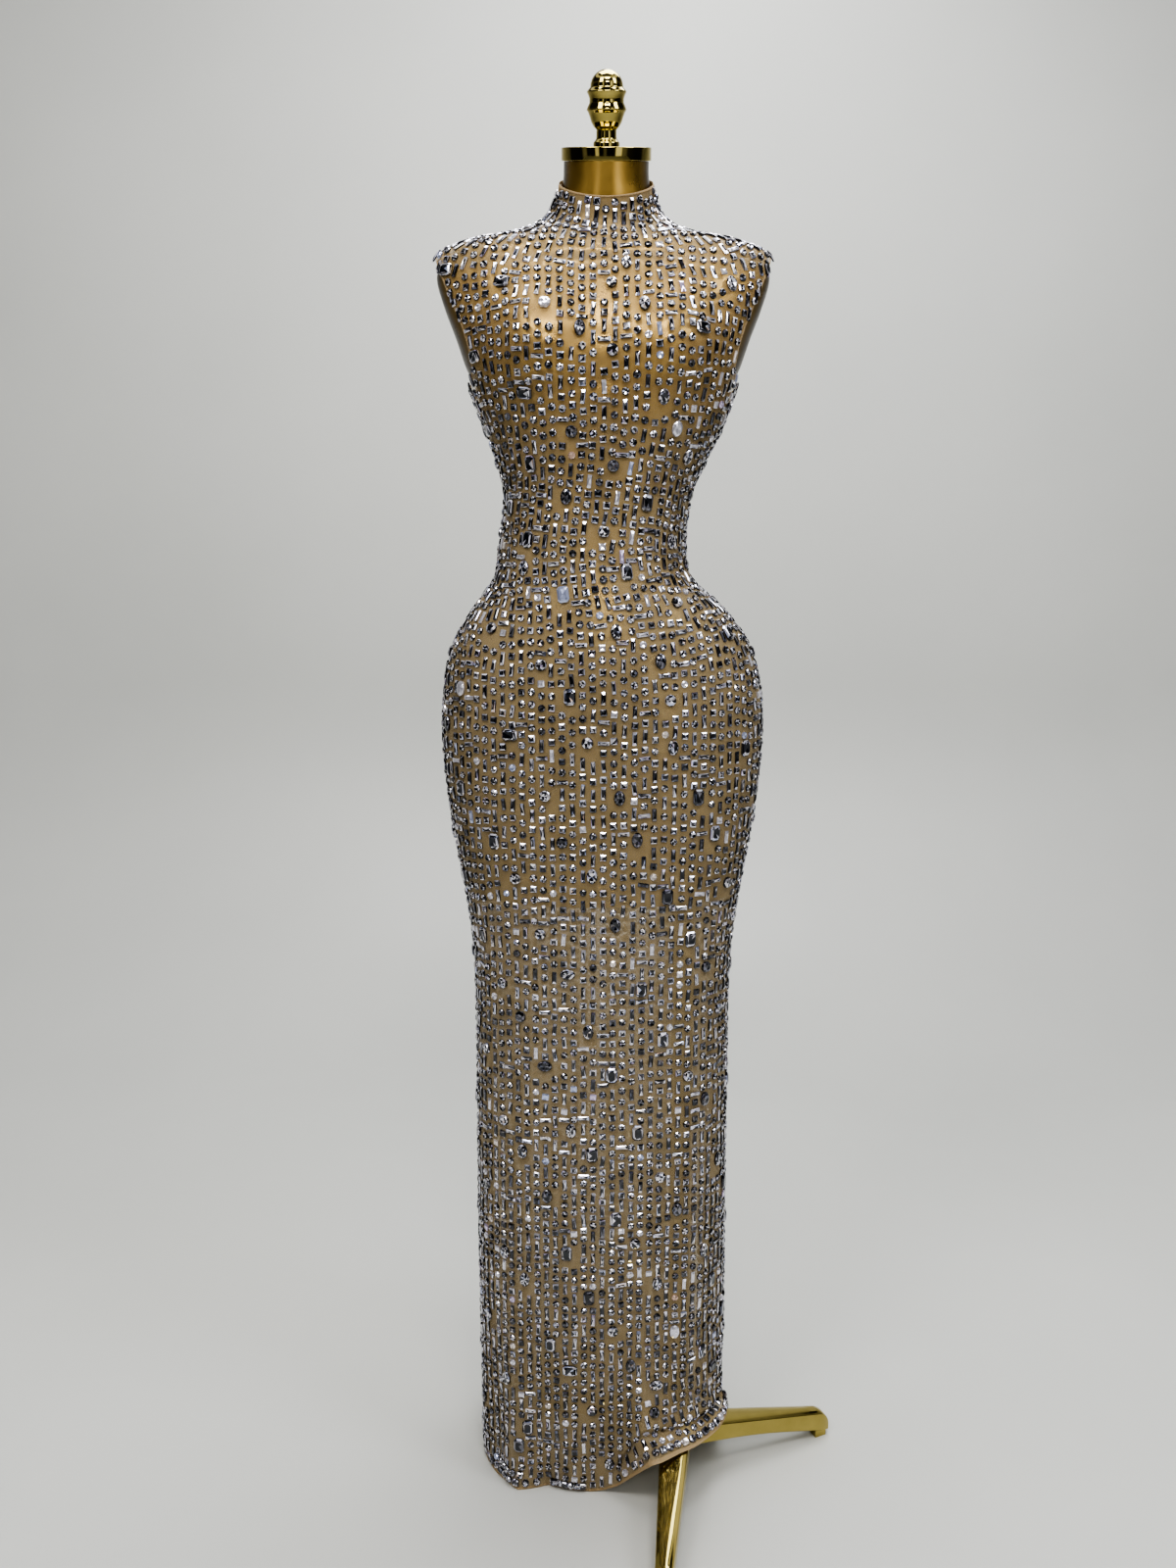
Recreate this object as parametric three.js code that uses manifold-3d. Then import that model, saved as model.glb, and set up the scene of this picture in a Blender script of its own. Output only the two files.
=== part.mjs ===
// Floor-length sleeveless dress of stone-set mesh with a mock neck, standing on a limbless
// dress form with a gold neck cap, a turned finial, a pole and a three-legged base.
// Millimetres, +Z up, the front of the dress faces -Y and the origin is under its middle.
import * as THREE from 'three';
import { mergeVertices } from 'three/addons/utils/BufferGeometryUtils.js';
import Module from 'manifold-3d';

// Cloth: wall, gap at a seam, and room between the cloth and the form under it.
const clothWall = 1.6;
const seamGap = 0.3;
const formRoom = 2.1;

// Extra room where the cloth turns sharply: over the shoulder tip and under the arm.
const roomColumns = ['height', 'extra', 'spread'];
const extraRoom = [
  [1454, 6.6, 13],
  [1312, 3.2, 14],
];

// Girth sections of the dress, outside of the cloth, from the hem to the top of the neck.
// front and back are depths from the section's own centre, square is the exponent of the
// rounded outline and lean is how much the section rises towards the back.
const sectionColumns = ['height', 'halfWidth', 'front', 'back', 'shiftX', 'shiftY', 'square', 'lean'];
const sections = [
  [0, 150, 103, 122, 0, 0, 2.7, 0],
  [300, 152, 106, 123, 0, 0, 2.6, 0],
  [600, 152, 108, 124, 0, 0, 2.5, 0],
  [680, 155, 109, 124, 0, 0, 2.45, 0],
  [740, 163, 110, 124, 0, 0, 2.4, 0],
  [800, 173, 112, 125, 0, 0, 2.4, 0],
  [865, 182, 113, 126, 0, 0, 2.35, 0],
  [925, 186, 114, 126, 0, 0, 2.3, 0],
  [970, 184, 114, 122, 0, 0, 2.3, 0],
  [1003, 179, 112, 115, -1, 0, 2.3, 0],
  [1036, 167, 109, 106, -2, 0, 2.25, 0],
  [1070, 143, 104, 95, -5, 0, 2.2, 0],
  [1104, 113, 98, 84, -11, 0, 2.15, 0],
  [1140, 106, 94, 77, -12, 0, 2.1, 0],
  [1170, 104.5, 92, 76, -9, 0, 2.1, 0],
  [1204, 107, 93, 79, -5, 0, 2.1, 0],
  [1236, 118, 96, 85, -2, 0, 2.15, 0],
  [1270, 133, 98, 93, 0, 0, 2.2, 0],
  [1302, 145, 98, 99, 0, 0, 2.25, 0],
  [1334, 157, 96, 103, 0, 0, 2.3, 0],
  [1364, 167, 92, 104, 0, 0, 2.4, 0],
  [1396, 179, 85, 102, 0, 0, 2.5, 0],
  [1427, 188, 76, 97, 0, 1, 2.5, 0],
  [1446, 187, 69, 90, 0, 2, 2.45, 0],
  [1457, 181, 65, 83, 0, 3, 2.4, 0.02],
  [1470, 151, 61, 72, 0, 5, 2.3, 0.06],
  [1478, 110, 59, 65, 0, 6, 2.2, 0.1],
  [1488, 79, 57, 60, 1, 6, 2.1, 0.15],
  [1498, 65, 55, 57, 2, 4, 2, 0.2],
  [1509, 58, 53, 54, 2, 1, 2, 0.24],
  [1520, 54, 51.5, 52, 3, -3, 2, 0.27],
  [1535, 50.5, 50.3, 50.3, 3, -7.5, 2, 0.29],
  [1560, 50, 50, 50, 3, -15, 2, 0.296],
];

// Fullness that the form gives the cloth, as soft mounds on the front or the back.
const moundColumns = ['side', 'x', 'height', 'rise', 'spreadX', 'spreadUp'];
const mounds = [
  ['front', -80, 1352, 31, 42, 40],
  ['front', 80, 1352, 31, 42, 40],
  ['front', 0, 985, 6, 60, 60],
  ['back', -72, 925, 11, 48, 62],
  ['back', 72, 925, 11, 48, 62],
];

// Hem: how far the edge is lifted off the floor and pushed outwards, by direction in degrees
// from +X. It stands on the floor all round except where it passes over two legs of the base.
const hemColumns = ['direction', 'lift', 'flare'];
const hemTable = [
  [-180, 0, 0],
  [-158, 0, 0],
  [-146, 0, 4],
  [-136, 0, 12],
  [-126, 0, -9],
  [-113, 0, -4],
  [-98, 0, -1],
  [-88, 3, 0],
  [-80, 15, 8],
  [-74, 39, 24],
  [-68, 70, 46],
  [-64, 72, 46],
  [-54, 72, 36],
  [-46, 72, 32],
  [-37, 72, 25],
  [-28, 72, 20],
  [-19, 73, 16],
  [-9, 73, 8],
  [0, 50, 3],
  [10, 26, 1],
  [20, 9, 0],
  [32, 0, 0],
  [180, 0, 0],
];
const hemLiftReach = 220;
const hemFlareReach = 28;

// Heights of the rings of points, at the side of the dress.
const hemRings = [0, 14, 34, 62];
const skirtRings = 16;
const zipBottom = 962;
const zipFoot = 6;
const bodyRings = [1000, 1034, 1066, 1098, 1132, 1170, 1208, 1246, 1280];
const underarm = 1309;
const shoulderTip = 1457;
const neckRings = [1464, 1471, 1478, 1487, 1498, 1510, 1522];
const neckline = 1535;
const necklineDip = 17;
const neckTop = 1550.5;
const torsoBottom = 740;
const torsoFirstRise = 15;
const torsoNeckRing = 1544;
const columnsPerHalf = 16;
const evenSpacing = 1.22;

// Armhole: how far its edge lies from the side of the body, in degrees round the body, on
// the front and on the back, from the underarm to the shoulder tip.
const armholeColumns = ['height', 'front', 'back'];
const armholeTable = [
  [underarm, 0, 0],
  [1311.5, 7, 6],
  [1317, 13, 12],
  [1329, 17.5, 16],
  [1349, 18.5, 17],
  [1373, 17.5, 16.5],
  [1398, 15.2, 15],
  [1423, 12, 12.5],
  [1441, 8.2, 9],
  [1452, 4, 4.6],
  [shoulderTip, 0, 0],
];

// Large stones, raised on the outside of the cloth where they sit.
const stoneHalfWidth = 6.5;
const stoneHalfHeight = 9;
const stoneRise = 4.2;
const stoneTable = 0.62;
const stoneMargin = 2.2;
const clothPerStone = 4700;
const usualCellWidth = 29;
const smallestStone = 4.4;
const lyingShare = 0.22;
const stoneStagger = 0.4;

// Back zip: half width of the closed chain, and the place and sizes of the slider and pull.
const zipHalfWidth = 2;
const sliderHeight = 1512;
const sliderSize = { width: 5, length: 8.4, thick: 1.6, off: 0.3 };
const bridgeSize = {
  width: 1.4, thick: 0.9, length: 6.4, rise: 3, corner: 1.2, shank: 1.5, sunk: 0.4,
};
const pullSize = {
  width: 4.6, length: 16, thick: 0.9, bar: 1, hole: 3.4, slot: 2.4, waist: 2.6, band: 0.7, taper: 1.6,
};
const sliderClear = 0.4;
const pullRest = 4;

// Neck cap, finial and stand.
const capRadius = 48.9;
const capThick = 13.2;
const capRim = 1;
const partGap = 0.3;
const neckTilt = 16.5;
const poleRadius = 12.5;
const flangeRadius = 16;
const flangeThick = 8;
const flangeNeck = 10;
const hub = {
  x: 92.8, y: -73.9, radius: 23, bottom: 56, shoulder: 86, neck: 92, top: 112, collar: 18, rim: 2,
};

// Radius and height of each ring of the finial.
const finialProfile = [
  [0, 0], [14.2, 0], [14.2, 4.4], [11, 8.2], [10.8, 16.6], [16.4, 23.6], [19.6, 32.4],
  [21.6, 35.4], [18.5, 42], [18.5, 45.6], [21.5, 52.4], [17.6, 56.6], [15.2, 65], [10.1, 70.4],
  [3.7, 73.1], [0, 73.5],
];
const legReach = 219;
const legDirections = { leg_front: -98, leg_right: 22, leg_back: 142 };
const legTip = { top: 33.2, wall: 27.6, width: 18.1 };
const legRisePerReach = 0.216;
const legWidening = 0.096;
const legHollow = 4;
const legNose = 20;
const legNoseNarrowing = 0.45;
const legChin = 2;
const footLength = 16;
const footInset = 5;

// Colours and finishes.
const meshCloth = { color: 0xa88654, roughness: 0.72, metalness: 0 };
const satinGold = { color: 0x9a7a3c, roughness: 0.42, metalness: 0.85 };
const brightGold = { color: 0xd8a94a, roughness: 0.14, metalness: 1 };
const zipMetal = { color: 0xb08d55, roughness: 0.35, metalness: 0.7 };

const degree = Math.PI / 180;

function asRecords(columns, rows) {
  return rows.map((row) => Object.fromEntries(columns.map((column, i) => [column, row[i]])));
}

// Smooth run of every column through the rows of a table, by its first column.
function tableReader(columns, rows, smooth) {
  const records = asRecords(columns, rows);
  const key = columns[0];
  const slope = (column, i) => {
    const before = records[Math.max(i - 1, 0)];
    const after = records[Math.min(i + 1, records.length - 1)];
    return (after[column] - before[column]) / (after[key] - before[key]);
  };
  return (at) => {
    let i = 0;
    while (i < records.length - 2 && at > records[i + 1][key]) {
      i += 1;
    }
    const low = records[i];
    const high = records[i + 1];
    const span = high[key] - low[key];
    const t = Math.min(Math.max((at - low[key]) / span, 0), 1);
    const read = {};
    for (const column of columns) {
      const straight = low[column] + t * (high[column] - low[column]);
      if (smooth) {
        const bend0 = slope(column, i) * span - (high[column] - low[column]);
        const bend1 = slope(column, i + 1) * span - (high[column] - low[column]);
        read[column] = straight + t * (1 - t) * ((1 - t) * bend0 - t * bend1);
      } else {
        read[column] = straight;
      }
    }
    return read;
  };
}

const sectionAt = tableReader(sectionColumns, sections, true);
const hemAt = tableReader(hemColumns, hemTable, false);
const armholeAt = tableReader(armholeColumns, armholeTable, false);
const moundList = asRecords(moundColumns, mounds);

function clamp01(value) {
  return Math.min(Math.max(value, 0), 1);
}

// Height of a ring in a given direction: the hem is lifted over the legs and the neckline
// dips at the front.
function ringHeight(ring, direction) {
  const lift = hemAt(direction / degree).lift * clamp01(1 - ring / hemLiftReach);
  const front = (1 - Math.sin(direction)) / 2;
  const nearNeck = clamp01((ring - shoulderTip) / (neckline - shoulderTip));
  const aboveCloth = clamp01((neckTop - ring) / (neckTop - neckline));
  return ring + lift - necklineDip * front * front * nearNeck * nearNeck * aboveCloth;
}

// A point on the outside of the cloth, by direction in radians from +X and ring height.
function outsidePoint(direction, ring) {
  const height = ringHeight(ring, direction);
  const section = sectionAt(height);
  const c = Math.cos(direction);
  const s = Math.sin(direction);
  const depth = s < 0 ? section.front : section.back;
  const n = section.square;
  const across = (Math.abs(c) / section.halfWidth) ** n + (Math.abs(s) / depth) ** n;
  const flare = hemAt(direction / degree).flare * Math.exp(-ring / hemFlareReach);
  const radius = across ** (-1 / n) + flare;
  const x = radius * c;
  let y = radius * s;
  for (const mound of moundList) {
    const sign = mound.side === 'front' ? -1 : 1;
    if (s * sign > 0) {
      const dx = (x - mound.x) / mound.spreadX;
      const dz = (height - mound.height) / mound.spreadUp;
      y += sign * mound.rise * Math.exp(-(dx * dx + dz * dz) / 2) * Math.abs(s) ** 0.5;
    }
  }
  const z = height + section.lean * y;
  return new THREE.Vector3(x + section.shiftX, y + section.shiftY, z);
}

// The same point moved inwards by a depth, square to the cloth. On the floor ring it moves
// level, so the hem's edge stays flat.
function insidePoint(direction, ring, depth) {
  const step = 0.004;
  const rise = 1.5;
  const here = outsidePoint(direction, ring);
  const level = ring === 0;
  const around = outsidePoint(direction + step, ring).sub(outsidePoint(direction - step, ring));
  const upFrom = outsidePoint(direction, Math.max(ring - rise, 0));
  const up = outsidePoint(direction, ring + rise).sub(upFrom);
  if (level) {
    around.z = 0;
    up.set(0, 0, 1);
  }
  const normal = around.cross(up).normalize();
  return here.addScaledVector(normal, -depth);
}

// Directions are spread so that columns of points are about as far apart at the sides as
// at the front and back. turn is 0 at the front centre and 1 or -1 at a side seam.
function directionAt(turn) {
  const t = turn * Math.PI / 2;
  return Math.atan2(evenSpacing * Math.sin(t), Math.cos(t)) - Math.PI / 2;
}

function turnAt(direction) {
  const fromFront = direction + Math.PI / 2;
  return Math.atan2(Math.sin(fromFront), evenSpacing * Math.cos(fromFront)) / (Math.PI / 2);
}

function skirtRingList() {
  const list = [...hemRings];
  const low = hemRings[hemRings.length - 1];
  for (let i = 1; i <= skirtRings; i += 1) {
    list.push(low + (zipBottom - zipFoot - low) * i / skirtRings);
  }
  return list;
}

const armholeRings = armholeTable.map(([height]) => height);
const dressRings = [
  ...skirtRingList(), zipBottom, ...bodyRings, ...armholeRings, ...neckRings, neckline,
];

// Whole-number hash to 0..1, so that stones sit unevenly but always in the same places.
function scatter(a, b, c) {
  return ((a * 73 + b * 151 + c * 37 + a * b * 29 + 11) % 101) / 101;
}

function makeMesh(name, positions, faces, finish) {
  const geometry = new THREE.BufferGeometry();
  geometry.setAttribute('position', new THREE.Float32BufferAttribute(positions, 3));
  geometry.setIndex(faces);
  geometry.computeVertexNormals();
  const mesh = new THREE.Mesh(geometry, new THREE.MeshStandardMaterial(finish));
  mesh.name = name;
  return mesh;
}

// One cell in this many has a large stone, in the row of cells between two rings.
function cellsPerStone(low, high) {
  return Math.max(Math.round(clothPerStone / (usualCellWidth * (high - low))), 2);
}

// Where a large stone sits in a cell of the cloth, or null. The cell is named by its column
// and row, and a and b run across and up it from 0 to 1.
function stoneInCell(column, row, apart, width, height) {
  const stagger = Math.round(apart * stoneStagger);
  if ((column + stagger * row) % apart !== 0) {
    return null;
  }
  const lying = scatter(column, row, 3) < lyingShare;
  const wanted = lying ? [stoneHalfHeight, stoneHalfWidth] : [stoneHalfWidth, stoneHalfHeight];
  const halfWidth = Math.min(wanted[0], width / 2 - stoneMargin);
  const halfHeight = Math.min(wanted[1], height / 2 - stoneMargin);
  if (Math.min(halfWidth, halfHeight) < smallestStone) {
    return null;
  }
  const roomA = 0.5 - (halfWidth + stoneMargin) / width;
  const roomB = 0.5 - (halfHeight + stoneMargin) / height;
  return {
    a: 0.5 + roomA * (2 * scatter(column, row, 1) - 1),
    b: 0.5 + roomB * (2 * scatter(column, row, 2) - 1),
    halfA: halfWidth / width,
    halfB: halfHeight / height,
  };
}

// A piece of cloth: a grid of points outside and the same grid inside, joined at its edges.
// edges(ring) gives the directions of its two side edges at a ring.
function clothPiece(name, columns, rings, edges, firstColumn, finish) {
  const positions = [];
  const faces = [];
  const across = columns + 1;
  const count = across * rings.length;
  for (const depth of [0, clothWall]) {
    for (const ring of rings) {
      const [from, to] = edges(ring);
      for (let i = 0; i <= columns; i += 1) {
        const turn = from + (to - from) * i / columns;
        positions.push(...insidePoint(directionAt(turn), ring, depth).toArray());
      }
    }
  }
  const vertex = (index) => new THREE.Vector3().fromArray(positions, 3 * index);
  const quad = (a, b, c, d) => faces.push(a, b, c, a, c, d);

  function raiseStone(corners, stone) {
    const [a, b, c, d] = corners.map(vertex);
    const normal = b.clone().sub(a).cross(d.clone().sub(a)).normalize();
    const inCell = (u, v) => {
      const low = a.clone().lerp(b, u);
      const high = d.clone().lerp(c, u);
      return low.lerp(high, v);
    };
    const start = positions.length / 3;
    for (const [scale, rise] of [[1, 0], [stoneTable, stoneRise]]) {
      for (const [u, v] of [[-1, -1], [1, -1], [1, 1], [-1, 1]]) {
        const point = inCell(stone.a + u * scale * stone.halfA, stone.b + v * scale * stone.halfB);
        positions.push(...point.addScaledVector(normal, rise).toArray());
      }
    }
    for (let i = 0; i < 4; i += 1) {
      const j = (i + 1) % 4;
      quad(corners[i], corners[j], start + j, start + i);
      quad(start + i, start + j, start + 4 + j, start + 4 + i);
    }
    quad(start + 4, start + 5, start + 6, start + 7);
  }

  for (let j = 0; j < rings.length - 1; j += 1) {
    const apart = cellsPerStone(rings[j], rings[j + 1]);
    for (let i = 0; i < columns; i += 1) {
      const a = j * across + i;
      const corners = [a, a + 1, a + across + 1, a + across];
      const width = vertex(a).distanceTo(vertex(a + 1));
      const height = vertex(a).distanceTo(vertex(a + across));
      const stone = firstColumn === null
        ? null
        : stoneInCell(i + firstColumn, j, apart, width, height);
      if (stone) {
        raiseStone(corners, stone);
      } else {
        quad(...corners);
      }
      quad(...corners.map((index) => index + count).reverse());
    }
  }
  const last = (rings.length - 1) * across;
  for (let i = 0; i < columns; i += 1) {
    quad(i + count, i + 1 + count, i + 1, i);
    quad(last + i, last + i + 1, last + i + 1 + count, last + i + count);
  }
  for (let j = 0; j < rings.length - 1; j += 1) {
    const left = j * across;
    const right = left + columns;
    quad(left + across, left + across + count, left + count, left);
    quad(right, right + count, right + across + count, right + across);
  }
  return makeMesh(name, positions, faces, finish);
}

// How much of a turn a short distance takes up at a place on the cloth.
function turnFor(distance, turn, ring) {
  const step = 0.002;
  const chord = outsidePoint(directionAt(turn + step), ring)
    .distanceTo(outsidePoint(directionAt(turn - step), ring));
  return distance * 2 * step / chord;
}

// Turn of the armhole's edge, or of the side and shoulder seam, on the front or back.
function sideEdge(ring, side) {
  const angle = armholeAt(ring)[side] * degree;
  if (angle > 0) {
    return turnAt(side === 'front' ? -angle : angle);
  }
  const gap = turnFor(seamGap / 2, 1, ring);
  return side === 'front' ? 1 - gap : 1 + gap;
}

function frontEdges(ring) {
  const edge = sideEdge(ring, 'front');
  return [-edge, edge];
}

// The back halves meet at the centre back seam, and above the seam the zip lies between.
function backEdge(ring) {
  const distance = ring < zipBottom ? seamGap / 2 : zipHalfWidth + seamGap;
  return 2 - turnFor(distance, 2, ring);
}

const zipRings = dressRings.filter((ring) => ring >= zipBottom);

function zipEdges(ring) {
  const half = turnFor(zipHalfWidth, 2, ring);
  return [2 - half, 2 + half];
}

const roomList = asRecords(roomColumns, extraRoom);

function formDepth(ring) {
  const extra = roomList.map(({ height, extra: most, spread }) => (
    most * Math.exp(-(((ring - height) / spread) ** 2))
  ));
  return extra.reduce((sum, value) => sum + value, clothWall + formRoom);
}

// The form: one smooth closed body under the cloth, flat below and at the top of the neck.
function formTorso() {
  const covered = dressRings.filter((ring) => ring > torsoBottom + torsoFirstRise);
  const rings = [torsoBottom, ...covered, torsoNeckRing, neckTop];
  const around = 2 * columnsPerHalf;
  const positions = [];
  const faces = [];
  for (const ring of rings) {
    for (let i = 0; i < around; i += 1) {
      const turn = -1 + 4 * i / around;
      positions.push(...insidePoint(directionAt(turn), ring, formDepth(ring)).toArray());
    }
  }
  for (let i = 0; i < around; i += 1) {
    positions[3 * i + 2] = torsoBottom;
  }
  for (const start of [0, (rings.length - 1) * around]) {
    const centre = new THREE.Vector3();
    for (let i = 0; i < around; i += 1) {
      centre.add(new THREE.Vector3().fromArray(positions, 3 * (start + i)).divideScalar(around));
    }
    positions.push(...centre.toArray());
  }
  const lowCentre = rings.length * around;
  for (let i = 0; i < around; i += 1) {
    const next = (i + 1) % around;
    const top = (rings.length - 1) * around;
    faces.push(lowCentre, next, i, lowCentre + 1, top + i, top + next);
    for (let j = 0; j < rings.length - 1; j += 1) {
      const low = j * around;
      const high = low + around;
      faces.push(low + i, low + next, high + next, low + i, high + next, high + i);
    }
  }
  const mesh = makeMesh('form_torso', positions, faces, satinGold);
  const topCentre = new THREE.Vector3().fromArray(positions, 3 * (lowCentre + 1));
  return { mesh, topCentre };
}

function turned(name, profile, segments, finish) {
  const points = profile.map(([radius, height]) => new THREE.Vector2(radius, height));
  const geometry = new THREE.LatheGeometry(points, segments);
  geometry.rotateX(Math.PI / 2);
  const mesh = new THREE.Mesh(geometry, new THREE.MeshStandardMaterial(finish));
  mesh.name = name;
  return mesh;
}

// Neck cap and finial stand on the neck, square to its sloping top.
function neckCap() {
  const profile = [
    [0, 0], [capRadius - capRim, 0], [capRadius, capRim], [capRadius, capThick - capRim],
    [capRadius - capRim, capThick], [0, capThick],
  ];
  return turned('neck_cap', profile, 28, brightGold);
}

function finial() {
  return turned('finial', finialProfile, 16, brightGold);
}

function standHub() {
  const { radius, bottom, shoulder, neck, top, collar, rim } = hub;
  const profile = [
    [0, bottom], [radius - rim, bottom], [radius, bottom + rim], [radius, shoulder],
    [collar, neck], [collar, top], [0, top],
  ];
  return turned('stand_hub', profile, 24, brightGold);
}

function pole() {
  const foot = hub.top + partGap;
  const head = torsoBottom - partGap;
  const profile = [
    [0, foot], [poleRadius, foot], [poleRadius, head - flangeThick - flangeNeck],
    [flangeRadius, head - flangeThick], [flangeRadius, head], [0, head],
  ];
  return turned('pole', profile, 20, brightGold);
}

// A leg, drawn from the side along its reach and extruded, then drawn out wider towards the
// hub. Its underside clears the floor except at the small foot block near the tip.
function leg(name) {
  const start = hub.radius + partGap;
  const topAt = (reach) => legTip.top + legRisePerReach * (legReach - reach);
  const underAt = (reach) => topAt(reach) - legTip.wall;
  const footOut = legReach - footInset;
  const footIn = footOut - footLength;
  const middle = (start + legReach) / 2;
  const outline = new THREE.Shape();
  outline.moveTo(start, underAt(start));
  for (const part of [0.25, 0.5, 0.75]) {
    const reach = start + part * (footIn - start);
    outline.lineTo(reach, underAt(reach) + legHollow * Math.sin(part * Math.PI));
  }
  outline.lineTo(footIn, underAt(footIn));
  outline.lineTo(footIn, 0);
  outline.lineTo(footOut, 0);
  outline.lineTo(footOut, underAt(footOut));
  outline.lineTo(legReach, underAt(legReach) + legChin);
  outline.lineTo(legReach, topAt(legReach) - legNose);
  outline.quadraticCurveTo(legReach, topAt(legReach), legReach - legNose, topAt(legReach - legNose));
  outline.lineTo(middle, topAt(middle));
  outline.lineTo(start, topAt(start));
  outline.closePath();
  const geometry = new THREE.ExtrudeGeometry(outline, {
    depth: 1, bevelEnabled: false, curveSegments: 5,
  });
  const position = geometry.getAttribute('position');
  for (let i = 0; i < position.count; i += 1) {
    const reach = position.getX(i);
    const up = position.getY(i);
    const noseIn = Math.max(reach - (legReach - legNose), 0) / legNose;
    const width = legTip.width + legWidening * (legReach - reach);
    const half = (width / 2) * (1 - legNoseNarrowing * noseIn * noseIn);
    position.setXYZ(i, reach, position.getZ(i) > 0.5 ? -half : half, up);
  }
  const mesh = new THREE.Mesh(geometry, new THREE.MeshStandardMaterial(brightGold));
  mesh.name = name;
  mesh.rotation.z = legDirections[name] * degree;
  return mesh;
}

// A piece drawn from its side, x out of the cloth and y up along the zip, and given a width.
function sideDrawn(outline, width) {
  const geometry = new THREE.ExtrudeGeometry(outline, { depth: width, bevelEnabled: false });
  geometry.translate(0, 0, -width / 2);
  const drawnToZip = new THREE.Matrix4().set(0, 0, 1, 0, 1, 0, 0, 0, 0, 1, 0, 0, 0, 0, 0, 1);
  geometry.applyMatrix4(drawnToZip);
  return geometry;
}

const library = await Module();
library.setup();

function solidOf(geometry) {
  geometry.deleteAttribute('normal');
  geometry.deleteAttribute('uv');
  const merged = mergeVertices(geometry, 1e-4);
  return new library.Manifold(new library.Mesh({
    numProp: 3,
    vertProperties: new Float32Array(merged.getAttribute('position').array),
    triVerts: new Uint32Array(merged.index.array),
  }));
}

// The zip's slider: a flat body with an arched bridge along it, which the bar of the pull
// turns under.
function slider() {
  const { width, length, thick, off } = sliderSize;
  const body = new THREE.Shape();
  body.moveTo(off, -length / 2);
  body.lineTo(off + thick, -length / 2);
  body.lineTo(off + thick, length / 2);
  body.lineTo(off, length / 2);
  body.closePath();
  const half = bridgeSize.length / 2;
  const low = off + thick - bridgeSize.sunk;
  const high = off + thick + bridgeSize.rise;
  const under = high - bridgeSize.thick;
  const { corner, shank } = bridgeSize;
  const arch = new THREE.Shape();
  arch.moveTo(low, -half);
  arch.lineTo(low, shank - half);
  arch.lineTo(under, shank - half);
  arch.lineTo(under, half - shank);
  arch.lineTo(low, half - shank);
  arch.lineTo(low, half);
  arch.lineTo(high - corner, half);
  arch.lineTo(high, half - corner);
  arch.lineTo(high, corner - half);
  arch.lineTo(high - corner, -half);
  arch.closePath();
  const joined = solidOf(sideDrawn(body, width)).add(solidOf(sideDrawn(arch, bridgeSize.width)));
  const { vertProperties, triVerts } = joined.getMesh();
  return makeMesh('zip_slider', Array.from(vertProperties), Array.from(triVerts), zipMetal);
}

// The pull: a drop-shaped plate with a slot, hanging by the bar above the slot.
function pull() {
  const { width, length, thick, bar, hole, slot, waist, band, taper } = pullSize;
  const top = bar / 2;
  const end = top - length;
  const shoulder = -bar / 2 - hole - band;
  const outline = new THREE.Shape();
  outline.moveTo(-width / 2, top);
  outline.lineTo(-width / 2, shoulder);
  outline.lineTo(-waist / 2, shoulder - taper);
  outline.absarc(0, end + width / 2, width / 2, Math.PI, 2 * Math.PI, false);
  outline.lineTo(waist / 2, shoulder - taper);
  outline.lineTo(width / 2, shoulder);
  outline.lineTo(width / 2, top);
  const window = new THREE.Path();
  window.moveTo(-slot / 2, -bar / 2);
  window.lineTo(slot / 2, -bar / 2);
  window.lineTo(slot / 2, -bar / 2 - hole);
  window.lineTo(-slot / 2, -bar / 2 - hole);
  outline.holes.push(window);
  const geometry = new THREE.ExtrudeGeometry(outline, {
    depth: thick, bevelEnabled: false, curveSegments: 8,
  });
  geometry.translate(0, 0, -thick / 2);
  geometry.rotateX(Math.PI / 2);
  const mesh = new THREE.Mesh(geometry, new THREE.MeshStandardMaterial(zipMetal));
  mesh.name = 'zip_pull';
  mesh.position.y = sliderSize.off + sliderSize.thick + (bridgeSize.rise - bridgeSize.thick) / 2;
  mesh.rotation.x = pullRest * degree;
  return mesh;
}

// The slider and pull ride on the closed zip at the back of the neck, square to the cloth.
function zipFittings() {
  const direction = directionAt(2);
  const above = outsidePoint(direction, sliderHeight + sliderSize.length / 2);
  const below = outsidePoint(direction, sliderHeight - sliderSize.length / 2);
  const fittings = new THREE.Group();
  fittings.position.copy(above.clone().add(below).divideScalar(2));
  fittings.position.y += sliderClear;
  fittings.rotation.x = Math.atan2(below.y - above.y, above.z - below.z);
  fittings.add(slider(), pull());
  return fittings;
}

function dressForm() {
  const { mesh, topCentre } = formTorso();
  const neck = new THREE.Group();
  neck.position.copy(topCentre);
  neck.rotation.x = neckTilt * degree;
  const cap = neckCap();
  cap.position.z = partGap;
  const knob = finial();
  knob.position.z = capThick + 2 * partGap;
  neck.add(cap, knob);
  const form = new THREE.Group();
  form.add(mesh, neck);
  return form;
}

function stand() {
  const base = new THREE.Group();
  base.position.set(hub.x, hub.y, 0);
  base.add(standHub(), pole(), ...Object.keys(legDirections).map(leg));
  return base;
}

function dress() {
  const clothes = new THREE.Group();
  const half = columnsPerHalf / 2;
  const rightEdges = (ring) => [sideEdge(ring, 'back'), backEdge(ring)];
  const leftEdges = (ring) => rightEdges(ring).map((turn) => 4 - turn).reverse();
  clothes.add(
    clothPiece('dress_front', columnsPerHalf, dressRings, frontEdges, 0, meshCloth),
    clothPiece('dress_back_right', half, dressRings, rightEdges, columnsPerHalf, meshCloth),
    clothPiece('dress_back_left', half, dressRings, leftEdges, columnsPerHalf + half, meshCloth),
    clothPiece('zip_chain', 2, zipRings, zipEdges, null, zipMetal),
  );
  return clothes;
}

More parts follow.
